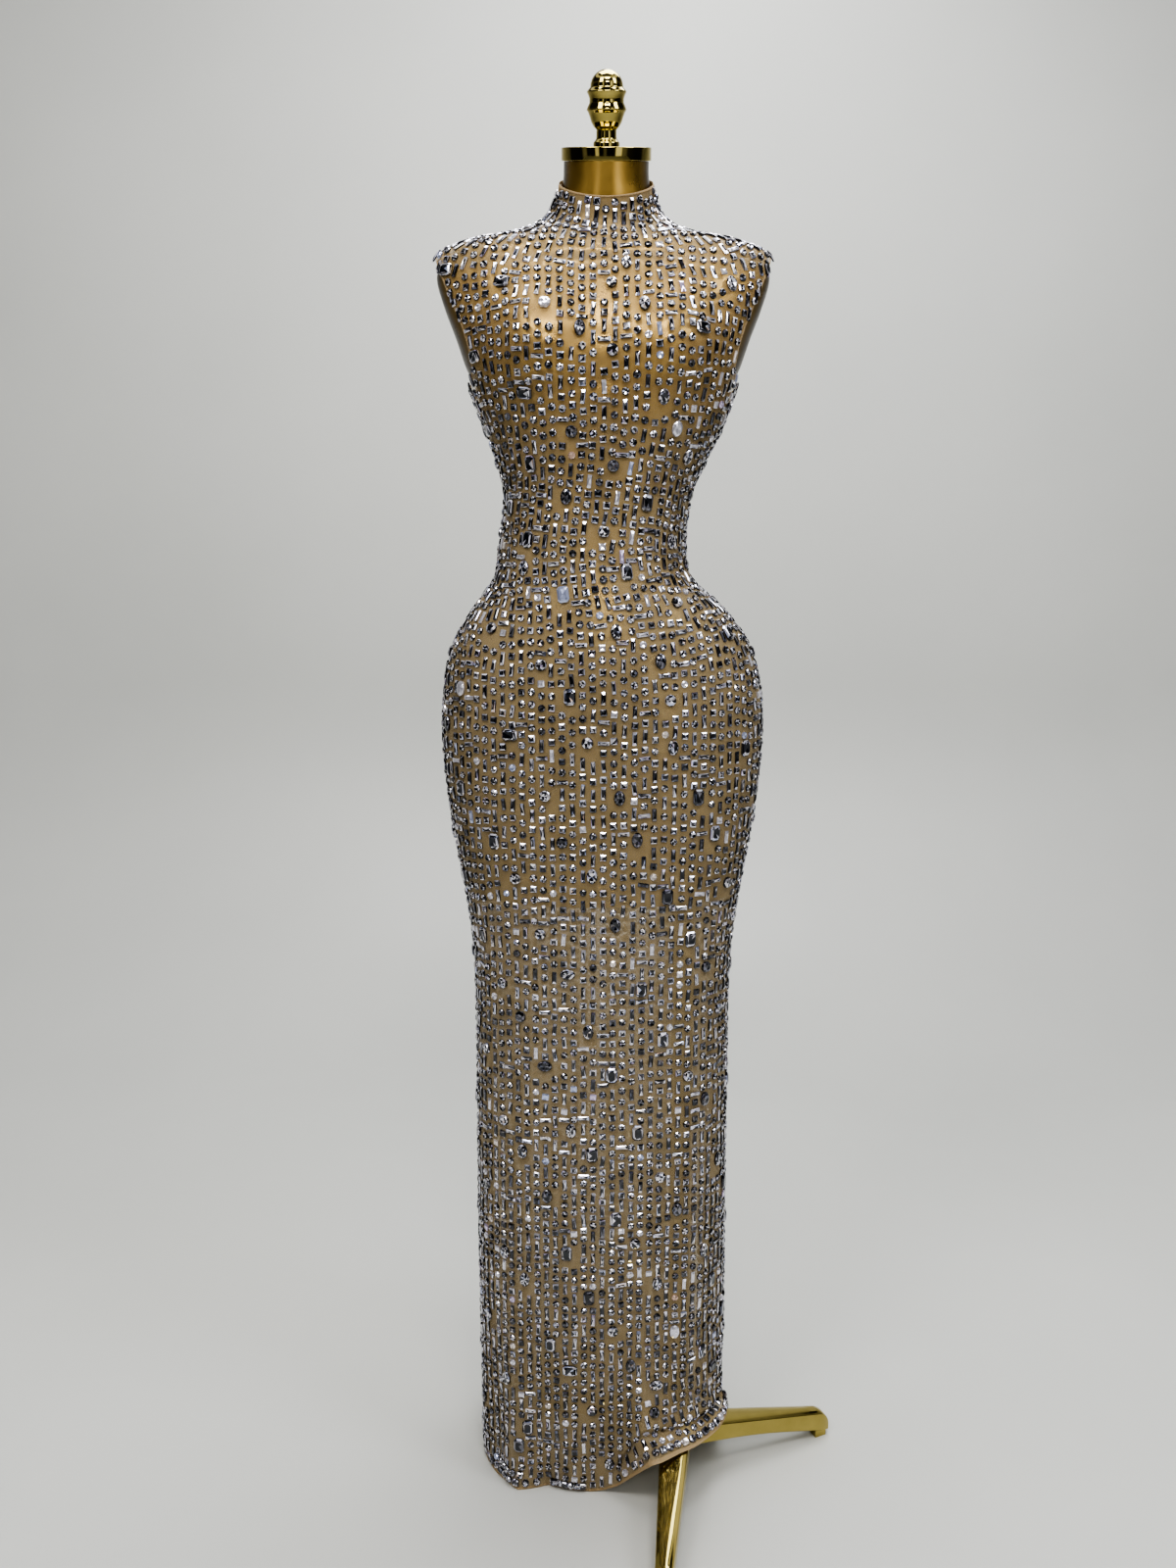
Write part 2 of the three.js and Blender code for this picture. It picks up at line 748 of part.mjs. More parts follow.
const model = new THREE.Group();
model.add(dress(), dressForm(), stand(), zipFittings());
model.updateMatrixWorld(true);
const box = new THREE.Box3().setFromObject(model, true);
model.position.set(-(box.min.x + box.max.x) / 2, -(box.min.y + box.max.y) / 2, -box.min.z);

export default model;
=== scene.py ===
# Stone-set mesh dress on a gold dress form. The sections follow the order in which the thing
# is put together. Sizes are in millimetres, and mm turns them into Blender's metres.
import math

import bpy
import numpy as np
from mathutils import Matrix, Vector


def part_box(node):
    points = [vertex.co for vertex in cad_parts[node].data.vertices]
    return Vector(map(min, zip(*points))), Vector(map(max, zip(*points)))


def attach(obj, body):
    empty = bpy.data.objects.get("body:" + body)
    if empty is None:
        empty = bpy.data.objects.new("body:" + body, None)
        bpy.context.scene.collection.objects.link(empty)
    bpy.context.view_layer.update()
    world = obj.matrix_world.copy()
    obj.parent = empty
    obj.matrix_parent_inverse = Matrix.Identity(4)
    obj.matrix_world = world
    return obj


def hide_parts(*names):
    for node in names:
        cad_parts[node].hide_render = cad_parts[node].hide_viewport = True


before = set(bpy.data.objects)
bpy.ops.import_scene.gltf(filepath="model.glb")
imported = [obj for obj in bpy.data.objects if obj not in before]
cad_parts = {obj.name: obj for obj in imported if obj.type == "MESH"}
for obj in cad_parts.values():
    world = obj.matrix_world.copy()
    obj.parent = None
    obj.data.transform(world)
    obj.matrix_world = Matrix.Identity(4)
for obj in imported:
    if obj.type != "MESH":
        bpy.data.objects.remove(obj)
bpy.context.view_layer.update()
mm = 0.001

# Stand legs. Three tapering cast arms of polished gold plate run out from the hub at a low
# slope, each with a rounded nose and a small foot block under it that stands on the floor.
hub_from_form = (92.8, -73.9)
pole_low, pole_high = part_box("pole")
hub_x = (pole_low.x + pole_high.x) / 2 / mm
hub_y = (pole_low.y + pole_high.y) / 2 / mm
hub_radius = 23
leg_directions = {"leg_front": -98, "leg_right": 22, "leg_back": 142}
leg_reach = 219
leg_tip = {"top": 33.2, "wall": 27.6, "width": 18.1}
leg_rise = 0.216
leg_widening = 0.096
leg_hollow = 4
leg_edge = 2.6
leg_crown = 1.1
nose_length = 20
nose_narrowing = 0.45
foot_length = 16
foot_inset = 5
foot_height = 5.6
foot_rooted = 6
foot_half_widths = (7.4, 6.6)
part_gap = 0.3


def make_piece(name, points, faces, smooth=True, body="dressed_form"):
    """A mesh object from points in millimetres, riding on a body."""
    mesh = bpy.data.meshes.new(name)
    mesh.from_pydata((np.asarray(points, float) * mm).tolist(), [], [list(f) for f in faces])
    if smooth:
        mesh.shade_smooth()
    mesh.update()
    piece = bpy.data.objects.new(name, mesh)
    bpy.context.scene.collection.objects.link(piece)
    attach(piece, body)
    return piece


def loft_faces(rows, count, closed=True, capped=True):
    """Quads between rows of points, each row a ring of count points, with flat ends."""
    faces = []
    for j in range(rows - 1):
        for i in range(count if closed else count - 1):
            n = (i + 1) % count
            faces.append((j * count + i, j * count + n, (j + 1) * count + n, (j + 1) * count + i))
    if capped:
        faces.append(tuple(reversed(range(count))))
        faces.append(tuple((rows - 1) * count + i for i in range(count)))
    return faces


def keep_creases(piece, degrees):
    """Soft shading that breaks at edges sharper than this."""
    piece.data.set_sharp_from_angle(angle=math.radians(degrees))


def bevel(piece, width, segments=2, degrees=35):
    """Rounds the edges of a piece that are sharper than an angle."""
    made = piece.modifiers.new("rounded edges", "BEVEL")
    made.width = width * mm
    made.segments = segments
    made.limit_method = "ANGLE"
    made.angle_limit = math.radians(degrees)
    made.harden_normals = False


def leg_section(reach):
    """A leg's outline across, at a distance from the hub's middle: crowned top, eased edges."""
    into_nose = max(reach - (leg_reach - nose_length), 0) / nose_length
    top = leg_tip["top"] + leg_rise * (leg_reach - reach)
    under = top - leg_tip["wall"]
    start = hub_radius + part_gap
    foot_in = leg_reach - foot_inset - foot_length
    if reach < foot_in:
        under += leg_hollow * math.sin(math.pi * (reach - start) / (foot_in - start))
    top -= nose_length * (1 - math.sqrt(max(1 - into_nose ** 2, 0)))
    width = leg_tip["width"] + leg_widening * (leg_reach - reach)
    half = width / 2 * (1 - nose_narrowing * into_nose ** 2)
    edge = leg_edge * (1 - 0.75 * into_nose)
    crown = leg_crown * (1 - into_nose)
    right = [
        (0, top), (half * 0.5, top - crown * 0.25), (half - edge * 1.6, top - crown),
        (half - edge * 0.35, top - crown - edge * 0.5), (half, top - crown - edge * 1.4),
        (half, under + edge), (half - edge, under), (half * 0.4, under),
    ]
    return right + [(-x, z) for x, z in reversed(right[1:])]


def leg(name):
    """One arm of the stand with its foot block, from the hub's side out to its nose."""
    start = hub_radius + part_gap
    stations = list(np.linspace(start, leg_reach - nose_length, 26))
    stations += [leg_reach - nose_length * (1 - math.sin(a)) for a in np.linspace(0.2, 1.5, 8)]
    turn = math.radians(leg_directions[name])

    def at_reach(reach, across, up):
        x = hub_x + reach * math.cos(turn) - across * math.sin(turn)
        return x, hub_y + reach * math.sin(turn) + across * math.cos(turn), up

    points = [at_reach(reach, *corner) for reach in stations for corner in leg_section(reach)]
    count = len(leg_section(start))
    faces = loft_faces(len(stations), count)
    foot_out = leg_reach - foot_inset
    foot_top = foot_height + foot_rooted
    for reach, half in zip((foot_out - foot_length, foot_out), foot_half_widths):
        for across, up in ((-half, 0), (half, 0), (half, foot_top), (-half, foot_top)):
            points.append(at_reach(reach, across, up))
    first = len(stations) * count
    faces += [tuple(first + i for i in face) for face in loft_faces(2, 4)]
    piece = make_piece(name + "_arm", points, faces)
    bevel(piece, 0.5)
    keep_creases(piece, 32)
    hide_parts(name)
    return piece


def new_group(name, inputs, outputs):
    """A shader node group, with its input and output nodes."""
    group = bpy.data.node_groups.new(name, "ShaderNodeTree")
    for socket, kind, value in inputs:
        made = group.interface.new_socket(socket, in_out="INPUT", socket_type=kind)
        made.default_value = value
    for socket, kind in outputs:
        group.interface.new_socket(socket, in_out="OUTPUT", socket_type=kind)
    return group, group.nodes.new("NodeGroupInput"), group.nodes.new("NodeGroupOutput")


def add_node(tree, kind, inputs=None, **settings):
    """A node with its settings, and with values or links for its inputs."""
    node = tree.nodes.new(kind)
    for key, value in settings.items():
        setattr(node, key, value)
    for key, value in (inputs or {}).items():
        if isinstance(value, bpy.types.NodeSocket):
            tree.links.new(value, node.inputs[key])
        else:
            node.inputs[key].default_value = value
    return node


def maths(tree, operation, *values):
    """The result of a sum on values or links."""
    return add_node(tree, "ShaderNodeMath", dict(enumerate(values)), operation=operation).outputs[0]


def spread_over(tree, value, low, high, to_low=0.0, to_high=1.0, **settings):
    """A value stretched from one range to another."""
    return add_node(tree, "ShaderNodeMapRange", {
        "Value": value, "From Min": low, "From Max": high, "To Min": to_low, "To Max": to_high},
        **settings).outputs["Result"]


def mixed(tree, share, first, second, **settings):
    """A colour between two, by a share."""
    return add_node(tree, "ShaderNodeMix", {"Factor": share, "A": first, "B": second},
                    data_type="RGBA", **settings).outputs["Result"]


def new_finish(name, **values):
    """A material and its shader, with the values that are the same all over."""
    material = bpy.data.materials.new(name)
    material.use_nodes = True
    shader = material.node_tree.nodes["Principled BSDF"]
    for key, value in values.items():
        shader.inputs[key.replace("_", " ")].default_value = value
    return material, material.node_tree, shader


# Rubbing marks and finger smears, which make a polished or painted surface uneven.
marks_group, marks_in, marks_out = new_group(
    "rubbed_surface",
    [("Smear size", "NodeSocketFloat", 30.0), ("Mark size", "NodeSocketFloat", 900.0),
     ("Least", "NodeSocketFloat", 0.1), ("Most", "NodeSocketFloat", 0.25)],
    [("Roughness", "NodeSocketFloat"), ("Height", "NodeSocketFloat"), ("Smear", "NodeSocketFloat")],
)
marks_place = add_node(marks_group, "ShaderNodeTexCoord")
smears = add_node(marks_group, "ShaderNodeTexNoise", {
    "Vector": marks_place.outputs["Object"], "Scale": marks_in.outputs["Smear size"],
    "Detail": 4.0, "Roughness": 0.6})
rubs = add_node(marks_group, "ShaderNodeTexNoise", {
    "Vector": marks_place.outputs["Object"], "Scale": marks_in.outputs["Mark size"], "Detail": 2.0})
uneven = spread_over(
    marks_group, smears.outputs["Fac"], 0.35, 0.7, marks_in.outputs["Least"], marks_in.outputs["Most"])
marks_group.links.new(uneven, marks_out.inputs["Roughness"])
marks_group.links.new(rubs.outputs["Fac"], marks_out.inputs["Height"])
marks_group.links.new(smears.outputs["Fac"], marks_out.inputs["Smear"])


def metal_finish(name, dark, light, least, most, relief, **values):
    """A plated or painted metal that is a little darker in its smears."""
    material, tree, shader = new_finish(name, **values)
    marks = add_node(tree, "ShaderNodeGroup", node_tree=marks_group)
    marks.inputs["Least"].default_value = least
    marks.inputs["Most"].default_value = most
    tint = mixed(tree, marks.outputs["Smear"], (*dark, 1), (*light, 1))
    ripple = add_node(tree, "ShaderNodeBump", {
        "Height": marks.outputs["Height"], "Strength": relief, "Distance": 0.0002})
    tree.links.new(tint, shader.inputs["Base Color"])
    tree.links.new(marks.outputs["Roughness"], shader.inputs["Roughness"])
    tree.links.new(ripple.outputs["Normal"], shader.inputs["Normal"])
    return material


bright_gold = metal_finish(
    "bright_gold_plate", (0.36, 0.29, 0.095), (0.52, 0.43, 0.16), 0.04, 0.10, 0.03, Metallic=1.0)
for leg_name in leg_directions:
    leg(leg_name).data.materials.append(bright_gold)

# Hub and pole. The turned hub takes the three arms, its collar clamps the round pole, and the
# flange at the top of the pole is screwed under the form. All are polished gold plate.
hub_heights = {"bottom": 56, "shoulder": 86, "collar": 92, "top": 112}
collar_radius = 18
pole_radius = 12.5
flange_radius = 16
flange_thick = 8
flange_neck = 10
middle_hole = 0.5
hub_easing = 2.2
pole_easing = 0.8


def turned(name, profile, centre, tilt=0.0, segments=96, node=None):
    """A piece turned on a lathe from (radius, height) points, tilted forward about its base."""
    points = []
    for radius, height in profile:
        for i in range(segments):
            turn = 2 * math.pi * i / segments
            x, y = radius * math.cos(turn), radius * math.sin(turn)
            lean_y = y * math.cos(tilt) - height * math.sin(tilt)
            lean_z = y * math.sin(tilt) + height * math.cos(tilt)
            points.append((centre[0] + x, centre[1] + lean_y, centre[2] + lean_z))
    piece = make_piece(name, points, loft_faces(len(profile), segments))
    keep_creases(piece, 40)
    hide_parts(node)
    piece.data.materials.append(bright_gold)
    return piece


def eased(corners, radius, steps=4):
    """An outline with its inner corners rounded."""
    made = [corners[0]]
    for before, corner, after in zip(corners, corners[1:], corners[2:]):
        here, back, ahead = np.array(corner), np.array(before), np.array(after)
        room_back, room_ahead = np.linalg.norm(back - here), np.linalg.norm(ahead - here)
        cut = min(radius, room_back * 0.45, room_ahead * 0.45)
        first = here + (back - here) / room_back * cut
        last = here + (ahead - here) / room_ahead * cut
        for t in np.linspace(0, 1, steps + 1):
            made.append(tuple((1 - t) ** 2 * first + 2 * t * (1 - t) * here + t * t * last))
    return made + [corners[-1]]


turned("hub", eased([
    (middle_hole, hub_heights["bottom"]), (hub_radius, hub_heights["bottom"]),
    (hub_radius, hub_heights["shoulder"]), (collar_radius, hub_heights["collar"]),
    (collar_radius, hub_heights["top"]), (middle_hole, hub_heights["top"])], hub_easing),
    (hub_x, hub_y, 0), node="stand_hub")
pole_foot = hub_heights["top"] + part_gap
pole_head = pole_high.z / mm
turned("pole_tube", eased([
    (middle_hole, pole_foot), (pole_radius, pole_foot),
    (pole_radius, pole_head - flange_thick - flange_neck), (flange_radius, pole_head - flange_thick),
    (flange_radius, pole_head), (middle_hole, pole_head)], pole_easing),
    (hub_x, hub_y, 0), node="pole")

# Form. A limbless hollow body moulded in one piece and sprayed satin gold, closed flat under
# the hips and cut square to the neck at the top. The dress is cut close to this shape.
axis_x = hub_x - hub_from_form[0]
axis_y = hub_y - hub_from_form[1]
# height, half width, front depth, back depth, shift x, shift y, squareness, lean to the back
girth_sections = np.array([
    (0, 150, 103, 122, 0, 0, 2.7, 0),
    (300, 152, 106, 123, 0, 0, 2.6, 0),
    (600, 152, 108, 124, 0, 0, 2.5, 0),
    (680, 155, 109, 124, 0, 0, 2.45, 0),
    (740, 163, 110, 124, 0, 0, 2.4, 0),
    (800, 173, 112, 125, 0, 0, 2.4, 0),
    (865, 182, 113, 126, 0, 0, 2.35, 0),
    (925, 186, 114, 126, 0, 0, 2.3, 0),
    (970, 184, 114, 122, 0, 0, 2.3, 0),
    (1003, 179, 112, 115, -1, 0, 2.3, 0),
    (1036, 167, 109, 106, -2, 0, 2.25, 0),
    (1070, 143, 104, 95, -5, 0, 2.2, 0),
    (1104, 113, 98, 84, -11, 0, 2.15, 0),
    (1140, 106, 94, 77, -12, 0, 2.1, 0),
    (1170, 104.5, 92, 76, -9, 0, 2.1, 0),
    (1204, 107, 93, 79, -5, 0, 2.1, 0),
    (1236, 118, 96, 85, -2, 0, 2.15, 0),
    (1270, 133, 98, 93, 0, 0, 2.2, 0),
    (1302, 145, 98, 99, 0, 0, 2.25, 0),
    (1334, 157, 96, 103, 0, 0, 2.3, 0),
    (1364, 167, 92, 104, 0, 0, 2.4, 0),
    (1396, 179, 85, 102, 0, 0, 2.5, 0),
    (1427, 188, 76, 97, 0, 1, 2.5, 0),
    (1446, 187, 69, 90, 0, 2, 2.45, 0),
    (1457, 181, 65, 83, 0, 3, 2.4, 0.02),
    (1470, 151, 61, 72, 0, 5, 2.3, 0.06),
    (1478, 110, 59, 65, 0, 6, 2.2, 0.1),
    (1488, 79, 57, 60, 1, 6, 2.1, 0.15),
    (1498, 65, 55, 57, 2, 4, 2, 0.2),
    (1509, 58, 53, 54, 2, 1, 2, 0.24),
    (1520, 54, 51.5, 52, 3, -3, 2, 0.27),
    (1535, 50.5, 50.3, 50.3, 3, -7.5, 2, 0.29),
    (1560, 50, 50, 50, 3, -15, 2, 0.296),
])
# side (-1 front, 1 back), x, height, rise, spread across, spread up
mounds = [
    (-1, -80, 1352, 31, 42, 40),
    (-1, 80, 1352, 31, 42, 40),
    (-1, 0, 985, 6, 60, 60),
    (1, -72, 925, 11, 48, 62),
    (1, 72, 925, 11, 48, 62),
]
cloth_wall = 1.6
form_room = 2.1
# height, extra room, spread
extra_room = [(1454, 6.6, 13), (1312, 3.2, 14)]
form_bottom = 740
form_shoulder = 1430
shoulder_tip = 1457
neckline = 1535
neckline_dip = 17
neck_top = 1550.5
even_spacing = 1.22


def read_smooth(rows, at):
    """The columns of a table after its first, run smoothly through the rows."""
    keys = rows[:, 0]
    at = np.asarray(at, float)
    i = np.clip(np.searchsorted(keys, at, side="left") - 1, 0, len(rows) - 2)
    number = np.arange(len(rows))
    before, after = np.maximum(number - 1, 0), np.minimum(number + 1, len(rows) - 1)
    slopes = (rows[after] - rows[before]) / (keys[after] - keys[before])[:, None]
    span = (keys[i + 1] - keys[i])[..., None]
    t = np.clip((at - keys[i]) / span[..., 0], 0, 1)[..., None]
    step = rows[i + 1] - rows[i]
    bend = (1 - t) * (slopes[i] * span - step) - t * (slopes[i + 1] * span - step)
    made = rows[i] + t * step + t * (1 - t) * bend
    return np.moveaxis(made, -1, 0)[1:]


def body_point(direction, height, flare=0.0):
    """The outside of the dress in a direction round the body, in radians from +X."""
    half_width, front, back, shift_x, shift_y, square, lean = read_smooth(girth_sections, height)
    c, s = np.cos(direction), np.sin(direction)
    depth = np.where(s < 0, front, back)
    radius = ((np.abs(c) / half_width) ** square + (np.abs(s) / depth) ** square) ** (-1 / square)
    x, y = (radius + flare) * c, (radius + flare) * s
    for side, mound_x, mound_height, rise, spread_x, spread_up in mounds:
        away = ((x - mound_x) / spread_x) ** 2 + ((height - mound_height) / spread_up) ** 2
        y = y + np.where(s * side > 0, side * rise * np.exp(-away / 2) * np.sqrt(np.abs(s)), 0)
    return np.stack([axis_x + x + shift_x, axis_y + y + shift_y, height + lean * y], -1)


def dipped(direction, ring):
    """The height of a ring of the dress, which dips at the front towards the neckline."""
    front = (1 - np.sin(direction)) / 2
    near_neck = np.clip((ring - shoulder_tip) / (neckline - shoulder_tip), 0, 1)
    above_cloth = np.clip((neck_top - ring) / (neck_top - neckline), 0, 1)
    return ring - neckline_dip * front ** 2 * near_neck ** 2 * above_cloth


def direction_at(turn):
    """The direction of a turn round the body: 0 front middle, 1 and -1 side seams, 2 back."""
    t = np.asarray(turn, float) * math.pi / 2
    return np.arctan2(even_spacing * np.sin(t), np.cos(t)) - math.pi / 2


def turn_towards(degrees):
    """The turn of a direction given in degrees from +X, on the front half of the body."""
    from_front = np.radians(degrees) + math.pi / 2
    return np.arctan2(np.sin(from_front), even_spacing * np.cos(from_front)) / (math.pi / 2)


def outward(surface, direction, ring):
    """The direction square to a surface that is given as surface(direction, ring)."""
    around = surface(direction + 0.004, ring) - surface(direction - 0.004, ring)
    up = surface(direction, ring + 1.5) - surface(direction, ring - 1.5)
    normal = np.cross(around, up)
    return normal / np.linalg.norm(normal, axis=-1, keepdims=True)


def form_surface(direction, ring):
    return body_point(direction, dipped(direction, ring))


form_rings = np.concatenate([
    np.linspace(form_bottom, form_shoulder, 130), np.linspace(form_shoulder + 3, neck_top, 60)])
form_columns = 144
form_turns = np.arange(form_columns) * 4 / form_columns
form_directions, form_heights = np.meshgrid(direction_at(form_turns), form_rings)
form_depth = cloth_wall + form_room + sum(
    extra * np.exp(-((form_heights - height) / spread) ** 2) for height, extra, spread in extra_room)
form_points = (form_surface(form_directions, form_heights)
               - outward(form_surface, form_directions, form_heights) * form_depth[..., None])
form_points[0, :, 2] = form_bottom
form_faces = loft_faces(len(form_rings), form_columns)
form_body = make_piece("form_body", form_points.reshape(-1, 3), form_faces)
bevel(form_body, 1.2, segments=3, degrees=60)
keep_creases(form_body, 50)
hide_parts("form_torso")
satin_gold = metal_finish(
    "satin_gold_paint", (0.62, 0.40, 0.11), (0.75, 0.50, 0.15), 0.27, 0.35, 0.12,
    Metallic=0.9, Coat_Weight=0.2, Coat_Roughness=0.15)
# Painted shade: the paint is mixed to dark brown where it is seen edge-on, for the dark reflections at the
# sides of the form.
satin_tree = satin_gold.node_tree
satin_shader = satin_tree.nodes["Principled BSDF"]
edge_on = add_node(satin_tree, "ShaderNodeLayerWeight", {"Blend": 0.5})
edge_shade_share = spread_over(satin_tree, edge_on.outputs["Facing"], 0.2, 0.72)
face_on_tint = satin_shader.inputs["Base Color"].links[0].from_socket
painted_edge_shade = mixed(satin_tree, edge_shade_share, face_on_tint, (0.05, 0.03, 0.012, 1))
satin_tree.links.new(painted_edge_shade, satin_shader.inputs["Base Color"])
form_body.data.materials.append(satin_gold)

# Neck cap and finial. A polished disc closes the neck, square to its slope, and a turned knob
# of solid gold-plated metal is screwed to the middle of it.
neck_tilt = math.radians(16.5)
cap_radius = 48.9
cap_thick = 13.2
cap_rim = 1.0
knob_easing = 0.8
neck_middle = form_points[-1].mean(axis=0)
# The flange, the waisted neck, the bowl, a hollow between two ridges, and the domed top.
finial_profile = [
    (14.2, 0), (14.2, 4.4), (12.6, 6.2), (11.0, 8.2), (10.8, 16.6), (13.8, 19.4), (16.4, 23.6),
    (18.0, 28.4), (19.6, 32.4), (21.6, 35.4), (20.4, 38.4), (18.5, 42), (18.5, 45.6), (19.8, 49.4),
    (21.5, 52.4), (19.6, 54.6),
]
dome_radius = 17.6
dome_middle = 56.6
dome_flatness = 0.96
finial_profile += [
    (dome_radius * math.cos(a), dome_middle + dome_radius * dome_flatness * math.sin(a))
    for a in np.linspace(0, math.pi / 2 - 0.02, 14)]


def above_neck(distance):
    """A point on the neck's own axis, over the middle of its top."""
    rise = np.array([0, -math.sin(neck_tilt), math.cos(neck_tilt)])
    return neck_middle + rise * distance


turned("neck_disc", eased([
    (middle_hole, 0), (cap_radius, 0), (cap_radius, cap_thick), (middle_hole, cap_thick)], cap_rim),
    above_neck(part_gap), neck_tilt, 144, "neck_cap")
turned("neck_knob", [(middle_hole, 0)] + eased(finial_profile, knob_easing, 3),
       above_neck(cap_thick + 2 * part_gap), neck_tilt, 96, "finial")

# Dress panels. The front and the two back halves are cut from nude power mesh, sewn at the
# sides and shoulders, and hang from the form. The hem is caught up over two of the legs.
# direction in degrees, lift, flare
hem_table = np.array([
    (-180, 0, 0), (-158, 0, 0), (-146, 0, 4), (-136, 0, 12), (-126, 0, -9), (-113, 0, -4),
    (-98, 0, -1), (-88, 3, 0), (-80, 15, 8), (-74, 39, 24), (-68, 70, 46), (-64, 72, 46),
    (-54, 72, 36), (-46, 72, 32), (-37, 72, 25), (-28, 72, 20), (-19, 73, 16), (-9, 73, 8),
    (0, 50, 3), (10, 26, 1), (20, 9, 0), (32, 0, 0), (180, 0, 0)], float)
hem_lift_reach = 220
hem_flare_reach = 28
# direction in degrees, height, depth (outwards if below 0), spread round in degrees, spread up
soft_folds = [
    (-152, 70, 4.5, 7, 120), (-141, 40, -4.0, 6, 90), (-128, 110, 3.0, 8, 150),
    (-108, 60, -2.5, 7, 80), (-96, 190, 2.2, 6, 170), (-84, 260, -2.0, 9, 150),
    (-72, 210, 2.6, 7, 120), (-52, 240, 3.2, 8, 130), (-40, 320, -2.4, 8, 160),
    (-24, 230, 3.0, 9, 120), (-6, 180, -2.6, 8, 110), (14, 120, 3.4, 9, 140),
    (34, 90, -3.0, 8, 150), (52, 160, 3.6, 8, 200), (74, 70, -3.2, 7, 120),
    (92, 120, 3.8, 8, 190), (112, 80, -3.4, 7, 140), (130, 150, 3.2, 8, 180),
    (150, 70, -2.8, 8, 120), (168, 110, 3.4, 9, 150),
    (-118, 520, 1.6, 8, 150), (-66, 560, 1.6, 8, 130), (-92, 640, -1.2, 10, 110),
    (66, 620, 2.2, 8, 150), (104, 560, -1.8, 9, 140), (-20, 640, 1.6, 9, 120),
    (-166, 640, 1.8, 9, 130), (-32, 1120, 1.2, 6, 9), (-150, 1096, 1.3, 7, 8),
    (-24, 1084, -0.9, 8, 8), (-156, 1134, -0.9, 8, 9), (38, 1110, 1.2, 8, 9),
    (146, 1124, 1.2, 8, 9), (90, 1150, -1.0, 16, 10), (90, 1124, 1.1, 18, 9),
    (-38, 1300, 1.2, 7, 12), (-142, 1300, 1.2, 7, 12),
]
# The fold above the stretch of hem that is kicked out over the legs.
kick_fold = {"from": -86, "to": -1, "height": 21, "depth": 9.0, "spread": 6.5, "start": 12, "end": 14}
folds_from_hem = 12
# height, front and back distance in degrees from the side of the body to the armhole's edge
armhole_table = np.array([
    (1309, 0, 0), (1311.5, 7, 6), (1317, 13, 12), (1329, 17.5, 16), (1349, 18.5, 17),
    (1373, 17.5, 16.5), (1398, 15.2, 15), (1423, 12, 12.5), (1441, 8.2, 9), (1452, 4, 4.6),
    (1457, 0, 0)])
seam_gap = 0.3
zip_bottom = 962
zip_half_width = 2
shell_thick = 0.6
# ring at the start of a stretch, ring at its end, rows of points in it
row_stretches = [
    (0, 70, 18), (70, 962, 116), (962, 1309, 48), (1309, 1317, 8), (1317, 1330, 5),
    (1330, 1441, 18), (1441, 1480, 20), (1480, 1535, 16),
]


def fold_depth(direction, ring):
    """How far the cloth sinks inwards in its soft folds."""
    degrees = (np.degrees(direction) + 180) % 360 - 180
    depth = np.zeros(np.broadcast(direction, ring).shape)
    for middle, height, most, spread, tall in soft_folds:
        aside = np.abs(degrees - middle)
        aside = np.minimum(aside, 360 - aside)
        depth = depth + most * np.exp(-(aside / spread) ** 2 - ((ring - height) / tall) ** 2)
    inside_kick = (np.clip((degrees - kick_fold["from"]) / kick_fold["start"], 0, 1)
                   * np.clip((kick_fold["to"] - degrees) / kick_fold["end"], 0, 1))
    kick = kick_fold["depth"] * np.exp(-((ring - kick_fold["height"]) / kick_fold["spread"]) ** 2)
    return (depth + kick * inside_kick) * np.clip(ring / folds_from_hem, 0, 1)


def cloth_surface(direction, ring):
    """The outside of the cloth as it hangs, by direction round the body and ring from the hem."""
    degrees = (np.degrees(direction) + 180) % 360 - 180
    lift = np.interp(degrees, hem_table[:, 0], hem_table[:, 1])
    flare = np.interp(degrees, hem_table[:, 0], hem_table[:, 2])
    flare = flare * np.exp(-np.maximum(ring, 0) / hem_flare_reach)
    height = dipped(direction, ring) + lift * np.clip(1 - ring / hem_lift_reach, 0, 1)
    return body_point(direction, height, flare - fold_depth(direction, ring))


def chord_turn(distance, turn, ring):
    """How much of a turn a short distance takes up at a place on the cloth."""
    step = 0.002
    low, high = (cloth_surface(direction_at(turn + side * step), ring) for side in (-1, 1))
    return distance * 2 * step / np.linalg.norm(high - low, axis=-1)


def side_edge(ring, back):
    """The turn of the side seam, the shoulder seam or the armhole's edge."""
    angle = np.radians(np.interp(ring, armhole_table[:, 0], armhole_table[:, 2 if back else 1]))
    at_edge = turn_towards(np.degrees(np.where(back, angle, -angle)))
    seam = 1 + (1 if back else -1) * chord_turn(seam_gap / 2, 1.0, ring)
    return np.where(angle > 0, at_edge, seam)


def back_edge(ring):
    """The turn of the centre back edge, which stands off to let the zip in above its foot."""
    distance = np.where(ring < zip_bottom, seam_gap / 2, zip_half_width + seam_gap)
    return 2 - chord_turn(distance, 2.0, ring)


def front_edges(ring):
    return -side_edge(ring, False), side_edge(ring, False)


def back_right_edges(ring):
    return side_edge(ring, True), back_edge(ring)


def back_left_edges(ring):
    return 4 - back_edge(ring), 4 - side_edge(ring, True)


panel_edges = {
    "dress_front": front_edges,
    "dress_back_right": back_right_edges,
    "dress_back_left": back_left_edges,
}
cloth_rings = np.concatenate(
    [np.linspace(low, high, rows, endpoint=False) for low, high, rows in row_stretches] + [[neckline]])


